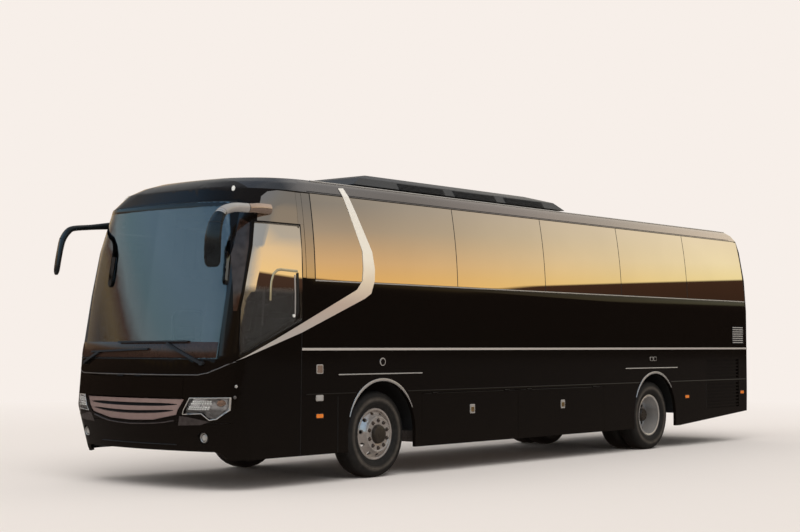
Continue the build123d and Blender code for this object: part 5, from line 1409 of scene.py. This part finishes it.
# ------------------------------------------------------------------ cab details
gauge_face = plain("gauge_face", (0.55, 0.56, 0.56), 0.35, grain=60.0, relief=0.0)
screen_face = plain("screen_face", (0.012, 0.020, 0.030), 0.08, grain=10.0, relief=0.0)
gauges, bezels = [], []
for y, z, radius in ((0.600, 1.325, 0.052), (0.800, 1.325, 0.052), (0.700, 1.355, 0.030), (0.700, 1.285, 0.026)):
    bezels.append(disc((5.3295, y, z), (-1, 0, 0), radius + 0.007, 0.012, 32, 0.003))
    gauges.append(disc((5.3185, y, z), (-1, 0, 0), radius, 0.003, 32, 0.001))
made("gauge_bezels", joined(bezels), chrome)
made("gauge_faces", joined(gauges), gauge_face)
made("dash_screen", bar((5.318, 0.330, 1.270), (5.331, 0.500, 1.375), 0.004), screen_face)
BUTTON_Y, BUTTON_Z, BUTTON_STEP_Y, BUTTON_STEP_Z = 0.325, 1.215, 0.030, 0.026
button_feet = [(BUTTON_Y + BUTTON_STEP_Y * i, BUTTON_Z + BUTTON_STEP_Z * row) for i in range(6) for row in range(2)]
buttons = [bar((5.320, y, z), (5.331, y + 0.022, z + 0.018), 0.002, 1) for y, z in button_feet]
made("dash_buttons", joined(buttons), gauge_face)
outlets = [bar((5.318, y, 1.150 + 0.014 * i), (5.331, y + 0.12, 1.157 + 0.014 * i), 0.001, 1) for y in (0.27, 0.93) for i in range(5)]
made("dash_outlets", joined(outlets), seam_grey)
pedals = [bar((5.24, y, 1.03), (5.27, y + 0.08, 1.14), 0.008, 2) for y in (0.58, 0.76)]
made("pedals", joined(pedals), seam_grey)
rails = [tube([(4.52, -0.36, 1.02), (4.52, -0.36, 1.85), (4.60, -0.36, 1.93), (4.95, -0.36, 1.93), (5.02, -0.36, 1.86), (5.02, -0.36, 1.02)], 0.016, 10)]
made("stair_rail", joined(rails), arm_silver)

# ------------------------------------------------------------------ studio
FLOOR_COLOUR = (0.93, 0.865, 0.815)
BACKDROP = (0.930, 0.863, 0.815)
FLOOR_SIZE = 150.0
# what shines sees the floor darker than it is
MIRRORED_FLOOR, MIRRORED_FLOOR_SHARE = (0.050, 0.034, 0.025), 0.88

floor_material, tree, principled = shader("studio_floor", Roughness=0.9, Specular_IOR_Level=0.1)
grain = noise(tree, object_coordinates(tree), 3.0)
tree.links.new(ramp(tree, grain, [(0.0, tuple(c * 0.995 for c in FLOOR_COLOUR)), (1.0, FLOOR_COLOUR)]), principled.inputs["Base Color"])
glow = tree.nodes.new("ShaderNodeEmission")
glow.inputs["Color"].default_value = (*BACKDROP, 1)
path = tree.nodes.new("ShaderNodeLightPath")
reach = tree.nodes.new("ShaderNodeVectorMath")
reach.operation = "LENGTH"
tree.links.new(object_coordinates(tree), reach.inputs[0])
fade = maths(tree, "MULTIPLY", span(tree, reach.outputs["Value"], 0.0, 1.0, 9.0, 22.0), path.outputs["Is Camera Ray"])
mix = tree.nodes.new("ShaderNodeMixShader")
tree.links.new(fade, mix.inputs[0])
tree.links.new(principled.outputs[0], mix.inputs[1])
tree.links.new(glow.outputs[0], mix.inputs[2])
under = tree.nodes.new("ShaderNodeEmission")
under.inputs["Color"].default_value = (*MIRRORED_FLOOR, 1)
shade = tree.nodes.new("ShaderNodeMixShader")
tree.links.new(maths(tree, "MULTIPLY", path.outputs["Is Glossy Ray"], MIRRORED_FLOOR_SHARE), shade.inputs[0])
tree.links.new(mix.outputs[0], shade.inputs[1])
tree.links.new(under.outputs[0], shade.inputs[2])
tree.links.new(shade.outputs[0], tree.nodes["Material Output"].inputs["Surface"])
floor_mesh = bmesh.new()
bmesh.ops.create_grid(floor_mesh, x_segments=1, y_segments=1, size=FLOOR_SIZE)
floor_data = bpy.data.meshes.new("studio_floor")
floor_mesh.to_mesh(floor_data)
floor_mesh.free()
floor = bpy.data.objects.new("studio_floor", floor_data)
floor_data.materials.append(floor_material)
bpy.context.scene.collection.objects.link(floor)

# soft light all round; what shines sees a warm low sky to the rear left and a cool one to the front right
world = bpy.data.worlds.new("studio")
world.use_nodes = True
bpy.context.scene.world = world
tree = world.node_tree
soft = tree.nodes["Background"]
soft.inputs["Color"].default_value = (1.0, 0.97, 0.94, 1)
soft.inputs["Strength"].default_value = 0.55
way = tree.nodes.new("ShaderNodeTexCoord").outputs["Generated"]
x, y, height = axes(tree, way)
# tones by height, from level up: the sky to the side, to the rear and to the front, and the ground under it
SKY = [
    (0.0, (0.90, 0.58, 0.21)), (0.073, (0.90, 0.58, 0.21)), (0.14, (0.76, 0.53, 0.29)), (0.24, (0.44, 0.38, 0.31)),
    (0.32, (0.29, 0.285, 0.28)), (0.5, (0.29, 0.295, 0.30)), (1.0, (0.26, 0.29, 0.35)),
]
FAR_SKY = [
    (0.0, (1.0, 0.88, 0.42)), (0.100, (1.0, 0.90, 0.46)), (0.17, (1.0, 0.93, 0.66)),
    (0.30, (0.88, 0.82, 0.72)), (0.6, (0.74, 0.70, 0.64)), (1.0, (0.30, 0.33, 0.38)),
]
COOL_SKY = [
    (0.0, (0.05, 0.035, 0.025)), (0.16, (0.14, 0.08, 0.05)), (0.195, (0.37, 0.23, 0.08)), (0.215, (0.21, 0.09, 0.05)),
    (0.234, (0.56, 0.70, 0.74)), (0.26, (0.40, 0.66, 0.77)), (0.30, (0.43, 0.70, 0.93)), (0.40, (0.32, 0.57, 0.82)),
    (0.70, (0.24, 0.50, 0.82)), (1.0, (0.12, 0.25, 0.40)),
]
GROUND = [(0.0, (0.030, 0.020, 0.013)), (0.5, (0.045, 0.024, 0.016)), (1.0, (0.055, 0.028, 0.018))]
HORIZON_AT, HORIZON_LIFT, HORIZON_FROM, HORIZON_LEAST = 0.088, 0.49, 0.831, 0.066
NEAR_HORIZON_AT, NEAR_HORIZON_LIFT, NEAR_HORIZON_FROM, NEAR_HORIZON_MOST = 0.100, -0.35, 0.70, 0.125
level = maths(tree, "MAXIMUM", height, 0.0)
# how far a way points to the rear: 1 straight back, -1 straight ahead
flat_square = maths(tree, "MAXIMUM", maths(tree, "SUBTRACT", 1.0, maths(tree, "MULTIPLY", height, height)), 0.0001)
to_rear = maths(tree, "DIVIDE", maths(tree, "MULTIPLY", x, -1.0), maths(tree, "SQRT", flat_square))
warm = blended(tree, maths(tree, "POWER", span(tree, to_rear, 0.0, 1.0, 0.755, 0.895), 1.5), ramp(tree, level, SKY), ramp(tree, level, FAR_SKY))
rising = maths(tree, "ADD", HORIZON_AT, maths(tree, "MULTIPLY", maths(tree, "SUBTRACT", to_rear, HORIZON_FROM), HORIZON_LIFT))
near_slope = maths(tree, "MULTIPLY", maths(tree, "SUBTRACT", to_rear, NEAR_HORIZON_FROM), NEAR_HORIZON_LIFT)
falling = maths(tree, "MINIMUM", NEAR_HORIZON_MOST, maths(tree, "ADD", NEAR_HORIZON_AT, near_slope))
horizon = maths(tree, "MAXIMUM", maths(tree, "MAXIMUM", rising, falling), HORIZON_LEAST)
above = span(tree, maths(tree, "SUBTRACT", level, horizon), 0.0, 1.0, -0.002, 0.003)
warm = blended(tree, above, ramp(tree, maths(tree, "DIVIDE", level, horizon), GROUND), warm)
sky = blended(tree, span(tree, to_rear, 0.0, 1.0, -0.25, 0.12), ramp(tree, level, COOL_SKY), warm)
mirrored = tree.nodes.new("ShaderNodeBackground")
tree.links.new(sky, mirrored.inputs["Color"])
pale = tree.nodes.new("ShaderNodeBackground")
pale.inputs["Color"].default_value = (*BACKDROP, 1)
path = tree.nodes.new("ShaderNodeLightPath")
with_gloss = tree.nodes.new("ShaderNodeMixShader")
tree.links.new(path.outputs["Is Glossy Ray"], with_gloss.inputs[0])
tree.links.new(soft.outputs[0], with_gloss.inputs[1])
tree.links.new(mirrored.outputs[0], with_gloss.inputs[2])
seen = maths(tree, "MAXIMUM", path.outputs["Is Camera Ray"], path.outputs["Is Transmission Ray"])
with_view = tree.nodes.new("ShaderNodeMixShader")
tree.links.new(seen, with_view.inputs[0])
tree.links.new(with_gloss.outputs[0], with_view.inputs[1])
tree.links.new(pale.outputs[0], with_view.inputs[2])
tree.links.new(with_view.outputs[0], tree.nodes["World Output"].inputs["Surface"])


def lamp(name, direction, angle, strength):
    """A broad soft light from one direction."""
    data = bpy.data.lights.new(name, "SUN")
    data.angle = radians(angle)
    data.energy = strength
    light = bpy.data.objects.new(name, data)
    light.visible_glossy = False
    light.rotation_euler = Vector(direction).to_track_quat("Z", "Y").to_euler()
    bpy.context.scene.collection.objects.link(light)


lamp("key", (0.45, 0.55, 1.0), 50.0, 1.25)
lamp("fill", (1.0, -0.35, 0.6), 60.0, 0.45)
